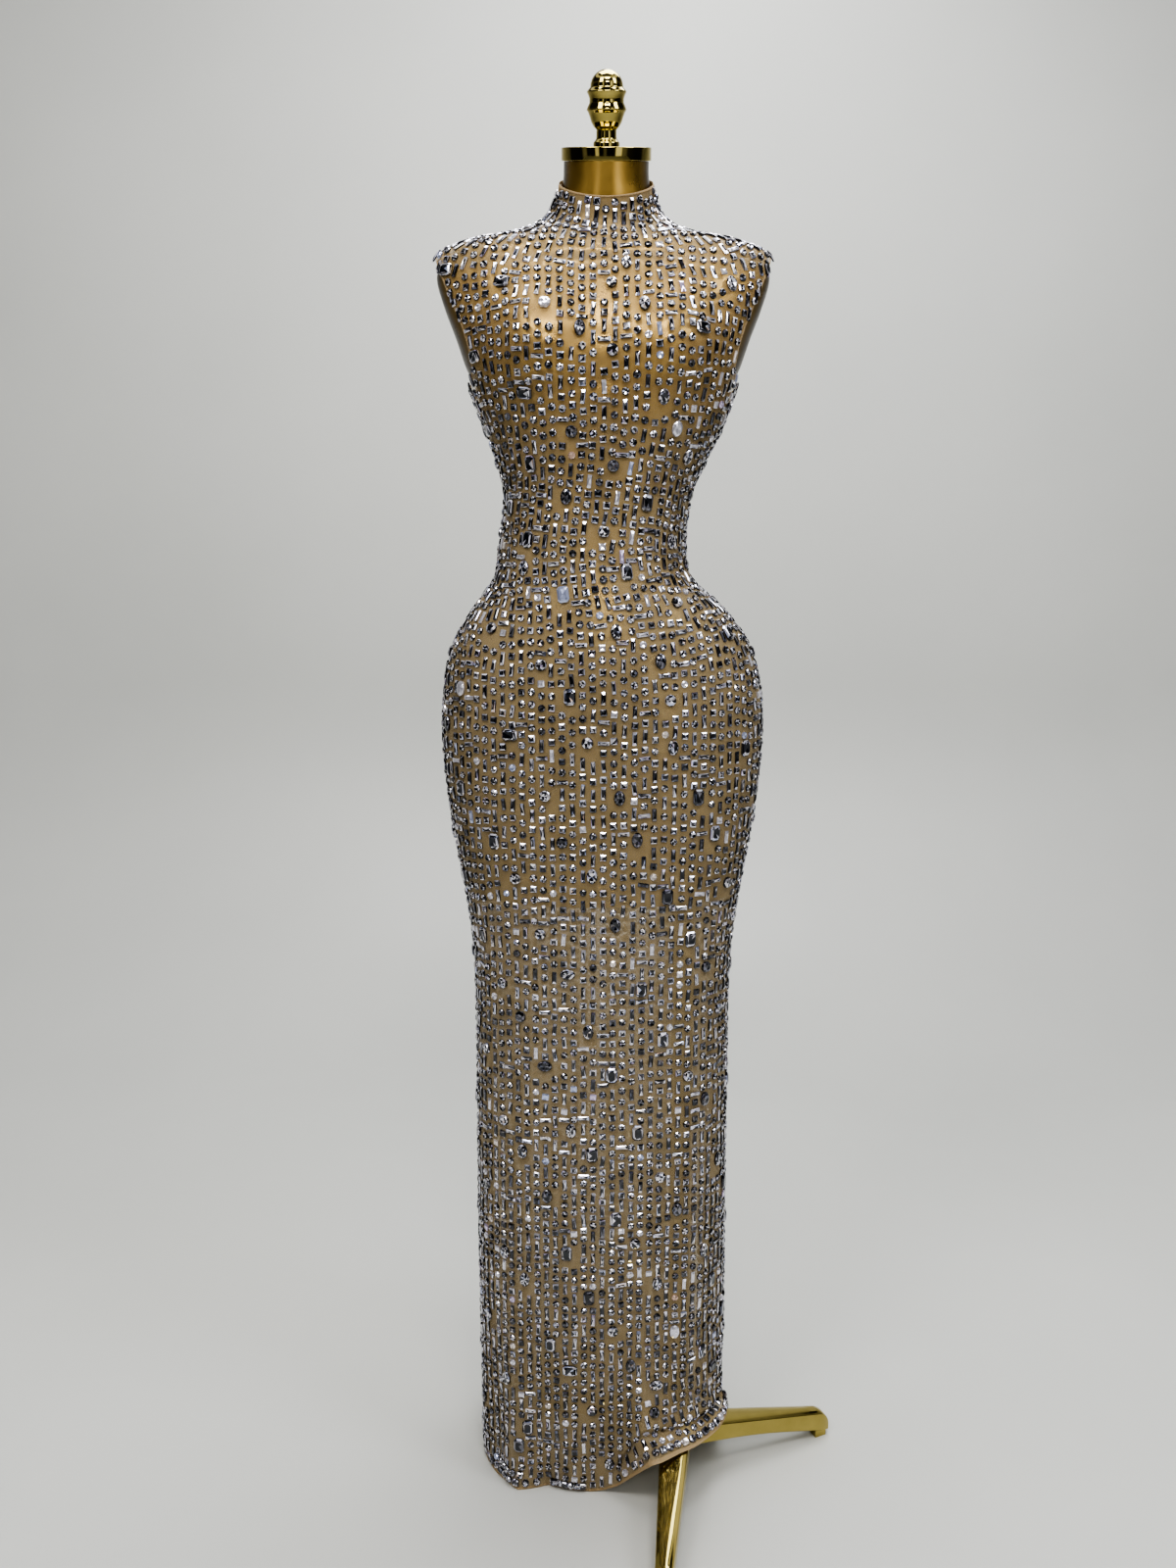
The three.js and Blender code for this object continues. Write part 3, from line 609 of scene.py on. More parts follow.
def cloth_grid(edges, columns, rings):
    """Points of a panel, row by row, and their places on the flat cloth."""
    left, right = edges(rings)
    share = np.linspace(0, 1, columns + 1)
    turns = left[:, None] + (right - left)[:, None] * share
    points = cloth_surface(direction_at(turns), rings[:, None] + 0 * turns)
    steps = np.linalg.norm(np.diff(points, axis=1), axis=-1)
    across = np.concatenate([np.zeros((len(rings), 1)), np.cumsum(steps, axis=1)], axis=1)
    across -= across[:, columns // 2:columns // 2 + 1]
    flat = np.stack([across, np.broadcast_to(rings[:, None], across.shape)], -1)
    return points, flat


def lay_out(piece, flat):
    """Gives a piece its cloth coordinates, in metres on the flat cloth."""
    layer = piece.data.uv_layers.new(name="cut")
    corners = np.empty(len(piece.data.loops), int)
    piece.data.loops.foreach_get("vertex_index", corners)
    layer.data.foreach_set("uv", (flat.reshape(-1, 2)[corners] * mm).ravel())


def thicken(piece, thick):
    """Gives a sheet its thickness, on its inner side."""
    made = piece.modifiers.new("thickness", "SOLIDIFY")
    made.thickness = thick * mm
    made.offset = -1


# Fine knitted net: rows of small openings between threads, wider where the cloth is stretched.
net_group, net_in, net_out = new_group(
    "fine_net", [("Openings per metre", "NodeSocketFloat", 900.0)],
    [("Opening", "NodeSocketFloat"), ("Height", "NodeSocketFloat"), ("Unevenness", "NodeSocketFloat"),
     ("Stretch", "NodeSocketFloat")])
net_place = add_node(net_group, "ShaderNodeUVMap", uv_map="cut")
net_size = add_node(net_group, "ShaderNodeVectorMath", {
    0: net_place.outputs["UV"], "Scale": net_in.outputs["Openings per metre"]}, operation="SCALE")
net_axes = add_node(net_group, "ShaderNodeSeparateXYZ", {"Vector": net_size.outputs["Vector"]})
net_waves = []
for net_axis in ("X", "Y"):
    net_angle = maths(net_group, "MULTIPLY", net_axes.outputs[net_axis], 2 * math.pi)
    net_waves.append(maths(net_group, "SINE", net_angle))
net_product = maths(net_group, "MULTIPLY", *net_waves)
net_stretch = add_node(net_group, "ShaderNodeAttribute", attribute_name="stretch")
net_widened = maths(net_group, "MULTIPLY_ADD", net_stretch.outputs["Fac"], 0.42, net_product)
net_opening = spread_over(net_group, net_widened, -0.25, 0.15, interpolation_type="SMOOTHSTEP")
net_lumps = add_node(net_group, "ShaderNodeTexNoise", {
    "Vector": net_place.outputs["UV"], "Scale": 24.0, "Detail": 3.0})
net_group.links.new(net_opening, net_out.inputs["Opening"])
net_group.links.new(net_product, net_out.inputs["Height"])
net_group.links.new(net_lumps.outputs["Fac"], net_out.inputs["Unevenness"])
net_group.links.new(net_stretch.outputs["Fac"], net_out.inputs["Stretch"])


def cloth_finish(name, dark, light, sheer):
    """Nude mesh: two close tans, with a painted glow of the lit gold form mixed in where it is stretched,
    and a soft nap.
    """
    material, tree, shader = new_finish(
        name, Sheen_Weight=0.25, Sheen_Roughness=0.4, Sheen_Tint=(0.95, 0.8, 0.6, 1), Roughness=0.62)
    net = add_node(tree, "ShaderNodeGroup", node_tree=net_group)
    tint = mixed(tree, net.outputs["Unevenness"], (*dark, 1), (*light, 1))
    solid = spread_over(tree, net.outputs["Opening"], 0.0, 1.0, 1.0, 1.0 - sheer)
    relief = add_node(tree, "ShaderNodeBump", {
        "Height": net.outputs["Height"], "Strength": 0.35, "Distance": 0.0003})
    # Painted glow: where the net is stretched, its colour is mixed towards the lit gold of the form
    # beneath.
    glow_share = maths(tree, "MULTIPLY", net.outputs["Stretch"], 0.6)
    painted_glow_tint = mixed(tree, glow_share, tint, (0.62, 0.42, 0.17, 1))
    tree.links.new(painted_glow_tint, shader.inputs["Base Color"])
    tree.links.new(solid, shader.inputs["Alpha"])
    tree.links.new(relief.outputs["Normal"], shader.inputs["Normal"])
    return material


mesh_cloth = cloth_finish("nude_mesh", (0.33, 0.255, 0.145), (0.43, 0.335, 0.19), 0.9)
panel_columns = {"dress_front": 96, "dress_back_right": 48, "dress_back_left": 48}
# How far the net is stretched open, by ring, which also sets its painted gold glow: it is tightest over
# the bust.
stretched = np.array([(1030, 0), (1110, 0.1), (1250, 0.3), (1320, 1), (1420, 1), (1465, 0.3), (1535, 0.1)])
for panel_name, edges_at in panel_edges.items():
    grid, flat_places = cloth_grid(edges_at, panel_columns[panel_name], cloth_rings)
    row_length = panel_columns[panel_name] + 1
    panel = make_piece(
        panel_name.replace("dress", "mesh"), grid.reshape(-1, 3),
        loft_faces(len(cloth_rings), row_length, closed=False, capped=False))
    lay_out(panel, flat_places)
    stretch = np.interp(cloth_rings, stretched[:, 0], stretched[:, 1])
    panel.data.attributes.new("stretch", "FLOAT", "POINT").data.foreach_set(
        "value", np.repeat(stretch, row_length).astype(np.float32))
    thicken(panel, shell_thick)
    panel.data.materials.append(mesh_cloth)
    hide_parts(panel_name)

# Edge turnings. The hem, neckline and armholes are turned once and caught with a row of small
# thread stitches, which leaves a narrow, closer band of mesh along each edge.
turning_width = 3.4
turning_rise = 0.35
stitch_pitch = 3.6
stitch_size = (2.0, 0.45, 0.5)
stitch_share = 0.75
edge_rise = 0.05
turned_mesh = cloth_finish("turned_mesh", (0.32, 0.235, 0.13), (0.42, 0.31, 0.175), 0.15)
thread_finish, _, _ = new_finish("nude_thread", Base_Color=(0.42, 0.29, 0.15, 1), Roughness=0.5)


def cloth_frame(direction, ring):
    """A place on the cloth, with its directions across, up and out."""
    here = cloth_surface(direction, ring)
    out = outward(cloth_surface, direction, np.maximum(ring, 1.6))
    up = cloth_surface(direction, ring + 1.5) - cloth_surface(direction, np.maximum(ring - 1.5, 0))
    up -= (up * out).sum(-1, keepdims=True) * out
    up /= np.linalg.norm(up, axis=-1, keepdims=True)
    return here, np.cross(up, out), up, out


def small_blocks(name, centres, along, across, out, size):
    """Many like small blocks in one piece, at centres, with their three directions and sizes."""
    points = [
        centres + along * (x * size[0] / 2) + across * (y * size[1] / 2) + out * (z * size[2])
        for x in (-1, 1) for y in (-1, 1) for z in (0, 1)]
    faces = [
        tuple(8 * k + i for i in face) for k in range(len(centres)) for face in (
            (0, 1, 3, 2), (4, 6, 7, 5), (0, 4, 5, 1), (2, 3, 7, 6), (1, 5, 7, 3), (0, 2, 6, 4))]
    return make_piece(name, np.stack(points, axis=1).reshape(-1, 3), faces, smooth=False)


def turned_edge(name, turns, rings, inner_turns, inner_rings):
    """A band along an edge of the cloth, from the edge to a line inside it, with its stitches."""
    rows = []
    for share, rise in ((0, edge_rise), (0.15, turning_rise), (0.85, turning_rise), (1, edge_rise)):
        direction = direction_at(turns + (inner_turns - turns) * share)
        here, _, _, out = cloth_frame(direction, rings + (inner_rings - rings) * share)
        rows.append(here + out * rise)
    band = make_piece(name, np.concatenate(rows), loft_faces(4, len(turns), False, False))
    along = np.concatenate([[0], np.cumsum(np.linalg.norm(np.diff(rows[0], axis=0), axis=-1))])
    widths = np.repeat(np.arange(4) * turning_width / 3, len(along))
    lay_out(band, np.stack([np.tile(along, 4), widths], -1))
    band.data.materials.append(turned_mesh)
    at = np.arange(stitch_pitch, along[-1] - stitch_pitch, stitch_pitch)
    seam = [np.interp(at, along, (1 - stitch_share) * edge + stitch_share * inner)
            for edge, inner in ((turns, inner_turns), (rings, inner_rings))]
    here, _, _, out = cloth_frame(direction_at(seam[0]), seam[1])
    step = np.gradient(here, axis=0)
    step -= (step * out).sum(-1, keepdims=True) * out
    step /= np.linalg.norm(step, axis=-1, keepdims=True)
    stitches = small_blocks(
        name + "_stitches", here + out * turning_rise, step, np.cross(out, step), out, stitch_size)
    stitches.data.materials.append(thread_finish)


for panel_name, edges_at in panel_edges.items():
    for edge_name, edge_ring, inward in (("hem", 0.0, 1), ("neckline", neckline, -1)):
        left, right = edges_at(np.array([edge_ring]))
        turns = np.linspace(left[0], right[0], panel_columns[panel_name] * 2 + 1)
        turned_edge(panel_name.replace("dress", edge_name), turns, np.full(len(turns), edge_ring),
                    turns, np.full(len(turns), edge_ring + inward * turning_width))
armhole_rings = np.linspace(armhole_table[1, 0], armhole_table[-2, 0], 90)
for panel_name, edges_at in panel_edges.items():
    is_back = panel_name != "dress_front"
    for side, edge_turns in zip((-1, 1), edges_at(armhole_rings)):
        if is_back and np.ptp(edge_turns) < 0.02:
            continue
        inward = -side * chord_turn(turning_width, edge_turns, armhole_rings)
        turned_edge(f"armhole_{panel_name[6:]}_{'right' if side > 0 else 'left'}",
                    edge_turns, armhole_rings, edge_turns + inward, armhole_rings)

# Stones. Facetted clear glass with a silver foil back, held in small open settings that are
# sewn to the mesh through their corners. The glints on their facets are painted. Large fancy
# cuts sit among columns of small ones.
stone_random = np.random.RandomState(20)
hem_rings = [24, 44, 70]
skirt_rings = 16
body_rings = [1000, 1034, 1066, 1098, 1132, 1170, 1208, 1246, 1280]
neck_rings = [1464, 1471, 1478, 1487, 1498, 1510, 1522]
large_half_width = 6.5
large_half_height = 9
large_margin = 2.2
cloth_per_stone = 4700
usual_cell_width = 29
smallest_large = 4.4
stone_stagger = 0.4
lying_share = 0.22
zip_foot = 6
# direction in degrees at its start and end, ring, half width of its stones
hem_crowds = [
    (-157, -128, 8.5, 4.8), (-122, -101, 8.5, 4.8), (-154, -133, 18.8, 4.4), (-76, -2, 8.0, 4.9)]
crowd_room = 0.7
crowd_squareness = 0.92
hem_radius = 165
# columns of places for large stones in each panel, and the number of the first one
cell_columns = {"dress_front": (16, 0), "dress_back_right": (8, 16), "dress_back_left": (8, 24)}


def scatter(a, b, c):
    """A whole-number hash from 0 to 1."""
    return ((a * 73 + b * 151 + c * 37 + a * b * 29 + 11) % 101) / 101


def large_stone_places():
    """(turn, ring, half width, half height) of each large stone."""
    low = hem_rings[-1]
    skirt = zip_bottom - zip_foot - low
    rings = hem_rings + [low + skirt * i / skirt_rings for i in range(1, skirt_rings + 1)]
    rings += [zip_bottom, *body_rings, *armhole_table[:, 0], *neck_rings, neckline]
    places = []
    for name, (columns, first) in cell_columns.items():
        left, right = panel_edges[name](np.array(rings, float))
        share = np.arange(columns + 1) / columns
        turns = left[:, None] + (right - left)[:, None] * share
        corners = cloth_surface(direction_at(turns), np.array(rings, float)[:, None] + 0 * turns)
        for row in range(len(rings) - 1):
            tall = rings[row + 1] - rings[row]
            apart = max(math.floor(cloth_per_stone / (usual_cell_width * tall) + 0.5), 2)
            stagger = math.floor(apart * stone_stagger + 0.5)
            for column in range(columns):
                number = column + first
                if (number + stagger * row) % apart:
                    continue
                width = np.linalg.norm(corners[row, column + 1] - corners[row, column])
                height = np.linalg.norm(corners[row + 1, column] - corners[row, column])
                wanted = (large_half_width, large_half_height)
                if scatter(number, row, 3) < lying_share:
                    wanted = wanted[::-1]
                half_width = min(wanted[0], width / 2 - large_margin)
                half_height = min(wanted[1], height / 2 - large_margin)
                if min(half_width, half_height) < smallest_large:
                    continue
                room_across = 0.5 - (half_width + large_margin) / width
                room_up = 0.5 - (half_height + large_margin) / height
                across = 0.5 + room_across * (2 * scatter(number, row, 1) - 1)
                up = 0.5 + room_up * (2 * scatter(number, row, 2) - 1)
                low_turn, high_turn = turns[row:row + 2, column] + across * (
                    turns[row:row + 2, column + 1] - turns[row:row + 2, column])
                places.append((low_turn + (high_turn - low_turn) * up,
                               rings[row] + tall * up, half_width, half_height))
    # Large stones crowd along the hem where it lies on the floor and where it is kicked out.
    for start, end, ring, half_width in hem_crowds:
        step = math.degrees(2 * (half_width + crowd_room) / hem_radius)
        for degrees in np.arange(start, end, step):
            places.append((turn_towards(degrees), ring, half_width, half_width * crowd_squareness))
    return places


def cut_stone(outline, levels, dip, twist, tones, ends=None):
    """A facetted stone: rings of points (scale, height) over an outline of half size 1, closed by
    a star of facets. tones gives for each band of facets its painted glints: the share of bright
    ones, the most that a dark one has and the least that a bright one has. ends is the same for a
    long stone's ends."""
    count = len(outline)
    outline = np.array(outline, float)
    middles = (outline + np.roll(outline, -1, axis=0)) / 2
    points, triangles, bands = [], [], []
    for level, (scale, height) in enumerate(levels):
        ring = middles * scale if twist and level % 2 else outline * scale
        points += [(x, y, height) for x, y in ring]
    for level in range(len(levels) - 1):
        shifted = twist and level % 2
        for i in range(count):
            n = (i + 1) % count
            a, b = level * count + i, level * count + n
            c, d = (level + 1) * count + n, (level + 1) * count + i
            if twist and not shifted:
                triangles += [(a, b, d), (b, c, d)]
            else:
                triangles += [(a, b, c), (a, c, d)]
            bands += [level, level]
    top = (len(levels) - 1) * count
    points.append((0, 0, levels[-1][1] - dip))
    for i in range(count):
        triangles.append((top + i, top + (i + 1) % count, len(points) - 1))
        bands.append(len(levels) - 1)
    points, triangles = np.array(points, float), np.array(triangles)
    ranges = np.array([tones[band] for band in bands], float)
    if ends:
        middle = points[triangles].mean(axis=1)
        at_end = np.abs(middle[:, 1]) > np.abs(middle[:, 0]) * 1.3
        ranges[at_end & (np.array(bands) < len(levels) - 1)] = ends
    return points, triangles, ranges


def regular(count):
    """The corners of an even polygon of half size 1."""
    turns = [2 * math.pi * (i + 0.5) / count for i in range(count)]
    return [(math.cos(turn), math.sin(turn)) for turn in turns]


def cut_corner(width, height, corner):
    """A rectangle of half size 1 with its corners cut off by a share of its shorter side."""
    a = corner * min(width, height) / width
    b = corner * min(width, height) / height
    return [(1, -1 + b), (1, 1 - b), (1 - a, 1), (-1 + a, 1),
            (-1, 1 - b), (-1, -1 + b), (-1 + a, -1), (1 - a, -1)]


def set_stones(name, template, places, halves, deep):
    """Joins one stone at each place into one mesh, with a painted glint brightness and a painted glint hue
    for each facet.
    """
    points, triangles, ranges = template
    here, right, up, out = places
    count = len(here)
    size = np.stack([halves[:, 0], halves[:, 1], np.full(count, deep)], -1)
    local = points[None] * size[:, None]
    turned_points = (here[:, None] + local[..., 0:1] * right[:, None]
                     + local[..., 1:2] * up[:, None] + local[..., 2:3] * out[:, None])
    loops = (triangles[None] + (np.arange(count) * len(points))[:, None, None]).reshape(-1)
    mesh = bpy.data.meshes.new(name)
    mesh.vertices.add(count * len(points))
    mesh.vertices.foreach_set("co", (turned_points * mm).astype(np.float32).ravel())
    mesh.loops.add(len(loops))
    mesh.loops.foreach_set("vertex_index", loops.astype(np.int32))
    mesh.polygons.add(len(loops) // 3)
    mesh.polygons.foreach_set("loop_start", np.arange(0, len(loops), 3, dtype=np.int32))
    mesh.update(calc_edges=True)
    mesh.shade_flat()
    facets = (count, len(triangles))
    shade = stone_random.rand(*facets)
    bright = stone_random.rand(*facets) < ranges[None, :, 0]
    facet_glint = np.where(bright, ranges[:, 2] + (1 - ranges[:, 2]) * shade, ranges[:, 1] * shade)
    # Some stones are painted white all over as flashing highlights, others painted darker as unlit.
    mood = stone_random.rand(count, 1)
    facet_glint = np.where(mood < flashing_share, 0.75 + 0.25 * shade, facet_glint)
    facet_glint = np.where(mood > 1 - unlit_share, facet_glint * 0.5, facet_glint)
    glint_hue = np.where(mood < flashing_share, stone_random.rand(count, 1), stone_random.rand(*facets))
    for attribute, values in (("facet_glint", facet_glint), ("glint_hue", glint_hue)):
        made = mesh.attributes.new(attribute, "FLOAT", "FACE")
        made.data.foreach_set("value", values.astype(np.float32).ravel())
    piece = bpy.data.objects.new(name, mesh)
    bpy.context.scene.collection.objects.link(piece)
    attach(piece, "dressed_form")
    piece.data.materials.append(stone_glass)
    return piece


# Painted glints of the facets: greys from black to white, and the hues of coloured flashes.
# place along the ramp, colour
glint_greys = [
    (0.0, (0.006, 0.007, 0.012)), (0.3, (0.07, 0.075, 0.10)), (0.62, (0.42, 0.41, 0.47)),
    (1.0, (0.90, 0.89, 0.98)),
]
painted_flash_hues = [
    (0.0, (0.72, 0.80, 1.0)), (0.10, (1, 1, 1)), (0.86, (1.0, 0.93, 0.80)), (0.95, (0.90, 0.80, 1.0)),
    (0.985, (1.0, 0.74, 0.55)),
]


def set_stops(ramp, stops):
    """Gives a colour ramp its stops, from its first place to its last."""
    while len(ramp.elements) < len(stops):
        ramp.elements.new(0.5)
    for element, (place, colour) in zip(ramp.elements, stops):
        element.position = place
        element.color = (*colour, 1)


def stone_finish():
    """Foil-backed glass: each facet carries a painted glint, from black to white, tinted by a painted
    coloured flash.
    """
    material, tree, shader = new_finish(
        "foiled_glass_painted_glints", Metallic=0.65, Coat_Weight=1.0, Coat_Roughness=0.02, Coat_IOR=1.6)
    facet_glint = add_node(tree, "ShaderNodeAttribute", attribute_name="facet_glint")
    glint_hue = add_node(tree, "ShaderNodeAttribute", attribute_name="glint_hue")
    grey = add_node(tree, "ShaderNodeValToRGB", {"Fac": facet_glint.outputs["Fac"]})
    set_stops(grey.color_ramp, glint_greys)
    flash = add_node(tree, "ShaderNodeValToRGB", {"Fac": glint_hue.outputs["Fac"]})
    flash.color_ramp.interpolation = "CONSTANT"
    set_stops(flash.color_ramp, painted_flash_hues)
    tinted = mixed(tree, 1.0, grey.outputs["Color"], flash.outputs["Color"], blend_type="MULTIPLY")
    marks = add_node(tree, "ShaderNodeGroup", node_tree=marks_group)
    marks.inputs["Least"].default_value = 0.04
    marks.inputs["Most"].default_value = 0.12
    tree.links.new(tinted, shader.inputs["Base Color"])
    tree.links.new(marks.outputs["Roughness"], shader.inputs["Roughness"])
    return material


stone_glass = stone_finish()
# Shares of the stones painted white all over as flashing highlights, and painted darker as unlit.
flashing_share = 0.05
unlit_share = 0.14
large_deep = 4.2
# Each cut ends with the painted glints of its bands of facets.
large_cuts = {
    "octagon_stones": cut_stone(
        cut_corner(1, 1.35, 0.42), [(0.95, 0), (1.0, 0.5), (0.82, 0.82), (0.6, 1.0)], 0.1, False,
        [(0.3, 0.3, 0.6), (0.5, 0.3, 0.7), (0.5, 0.25, 0.7), (0.14, 0.14, 0.7)]),
    "oval_stones": cut_stone(
        regular(12), [(0.95, 0), (1.0, 0.5), (0.84, 0.8), (0.56, 1.0)], 0.14, True,
        [(0.3, 0.3, 0.6), (0.5, 0.2, 0.7), (0.5, 0.2, 0.75), (0.35, 0.2, 0.8)]),
    "cushion_stones": cut_stone(
        cut_corner(1, 1, 0.55), [(0.95, 0), (1.0, 0.5), (0.84, 0.8), (0.52, 1.0)], 0.14, True,
        [(0.3, 0.3, 0.6), (0.5, 0.2, 0.7), (0.5, 0.2, 0.75), (0.35, 0.2, 0.8)]),
}
large_places = large_stone_places()
large_halves = np.array([place[2:] for place in large_places])
large_frames = cloth_frame(
    direction_at(np.array([place[0] for place in large_places])),
    np.array([place[1] for place in large_places]))
# Four in eleven of the large stones are octagons, four are ovals and three are cushions.
large_kind = np.arange(len(large_places)) * 7 % 11
for kind_name, first, last in (
        ("octagon_stones", 0, 3), ("oval_stones", 4, 7), ("cushion_stones", 8, 10)):
    chosen = (large_kind >= first) & (large_kind <= last)
    halves = large_halves[chosen]
    if kind_name == "cushion_stones":
        halves = np.repeat(np.minimum(halves.min(axis=1), large_half_width)[:, None], 2, axis=1)
    set_stones(kind_name, large_cuts[kind_name], [v[chosen] for v in large_frames], halves, large_deep)

# Small stones. Rounds, squares and baguettes are sewn in upright columns from hem to neck. The
# columns run parallel, so that the outer ones end at the side seams and armholes.
column_pitch = 11.3
pitch_easing = 0.15
hip_ring = 925
# the columns stand at least this far apart over the chest
chest_pitch = {"from": 1300, "to": 1460, "least": 11.7}
zip_column = 4.2
most_columns = 40
seam_inset = 4.5
seam_overhang = 4
# room beside a seam's own column: under the first no stones, under the second only narrow ones
seam_room_least = 7
seam_room_narrow = 9
open_room = 99
start_play = 3
gap_play = 1.2
edge_step = 2.0
large_step = 1.5
clear_of_large = 0.5
same_side = 15
lean_degrees = 3.0
size_spread = 0.03
# Each cut ends with the painted glints of its bands of facets, and squares and uprights with brighter
# painted glints at their ends.
small_cuts = {
    "round": cut_stone(regular(8), [(0.94, 0), (1.0, 0.58), (0.6, 1.0)], 0.3, True,
                       [(0.2, 0.2, 0.6), (0.45, 0.14, 0.78), (0.36, 0.10, 0.8)]),
    "square": cut_stone(cut_corner(1, 1, 0.14), [(0.96, 0), (1.0, 0.6), (0.6, 1.0)], 0.12, False,
                        [(0.2, 0.3, 0.6), (0.45, 0.4, 0.7), (0.22, 0.14, 0.6)], (0.65, 0.4, 0.75)),
    "upright": cut_stone(cut_corner(1, 3, 0.2), [(0.96, 0), (1.0, 0.6), (0.58, 1.0)], 0.1, False,
                         [(0.2, 0.2, 0.6), (0.35, 0.3, 0.65), (0.2, 0.14, 0.6)], (0.85, 0.5, 0.8)),
    "level": cut_stone(cut_corner(2.8, 1, 0.2), [(0.96, 0), (1.0, 0.6), (0.58, 1.0)], 0.1, False,
                       [(0.3, 0.3, 0.6), (0.65, 0.3, 0.75), (0.45, 0.2, 0.75)]),
}
# half width, half height, depth
small_sizes = {
    "round": (4.5, 4.5, 2.9), "square": (3.7, 3.7, 2.5),
    "upright": (2.45, 7.0, 2.4), "level": (6.5, 2.4, 2.4),
}
small_kinds = ["round", "square", "upright", "level"]
# ring where a stretch ends, shares of the four kinds in it, gap between stones up a column
column_stretches = [
    (430, (0.36, 0.31, 0.30, 0.03), 1.9),
    (1060, (0.30, 0.34, 0.20, 0.16), 3.7),
    (1210, (0.28, 0.34, 0.22, 0.16), 2.4),
    (1450, (0.42, 0.20, 0.24, 0.14), 3.3),
    (1600, (0.40, 0.20, 0.34, 0.06), 1.3),
]
bare_edge = {"hem": 4.5, "neck": 0.6, "side": 0.8, "armhole": 1.8, "zip": 6.0}
past_seam = 1.06
levelling = 60
arc_rings = np.concatenate([np.arange(0, 1440, 10.0), np.arange(1440, 1536, 1.5)])


def arc_table(middle_turn, sign):
    """Distances along the rings from the middle of a panel's side, out to a little past its seam.
    Where the hem is lifted they are level ones, so that the columns there run straight down."""
    turns = middle_turn + sign * np.linspace(0, past_seam, 160)
    points = cloth_surface(direction_at(turns)[None], arc_rings[:, None] + 0 * turns[None])
    points[..., 2] *= np.clip((arc_rings - hem_lift_reach) / levelling, 0, 1)[:, None]
    steps = np.linalg.norm(np.diff(points, axis=1), axis=-1)
    return turns, np.concatenate([np.zeros((len(arc_rings), 1)), np.cumsum(steps, axis=1)], axis=1)


def arcs_at(arcs, ring):
    """The distances at a ring, between the two rings of the table beside it."""
    place = np.interp(ring, arc_rings, np.arange(len(arc_rings)))
    low = int(min(place, len(arc_rings) - 2))
    share = place - low
    return arcs[low] * (1 - share) + arcs[low + 1] * share


def turn_at_arc(turns, arcs, distance, ring):
    return np.interp(distance, arcs_at(arcs, ring), turns)


def arc_at_turn(turns, arcs, turn, ring):
    order = np.argsort(turns)
    return np.interp(turn, turns[order], arcs_at(arcs, ring)[order])


def overlaps_large(here, half_width, half_height):
    """Whether a small stone at a place would touch a large one on the same side of the dress."""
    away = here - large_frames[0]
    across = np.abs((away * large_frames[1]).sum(-1)) - large_halves[:, 0] - half_width
    upright = np.abs((away * large_frames[2]).sum(-1)) - large_halves[:, 1] - half_height
    near = np.abs((away * large_frames[3]).sum(-1)) < same_side
    return bool(np.any((across < clear_of_large) & (upright < clear_of_large) & near))


def next_kind(before, shares, level_allowed):
    """The kind that comes next up a column: rounds may repeat, the others never do."""
    chances = np.array(shares)
    if before not in (None, "round"):
        chances[small_kinds.index(before)] = 0
    if not level_allowed:
        chances[small_kinds.index("level")] = 0
    return small_kinds[int(stone_random.choice(len(small_kinds), p=chances / chances.sum()))]


small_places = {kind: [] for kind in small_cuts}
path_rings = np.concatenate([np.arange(0, 1440, 6.0), np.arange(1440, neckline + 0.1, 1.0)])
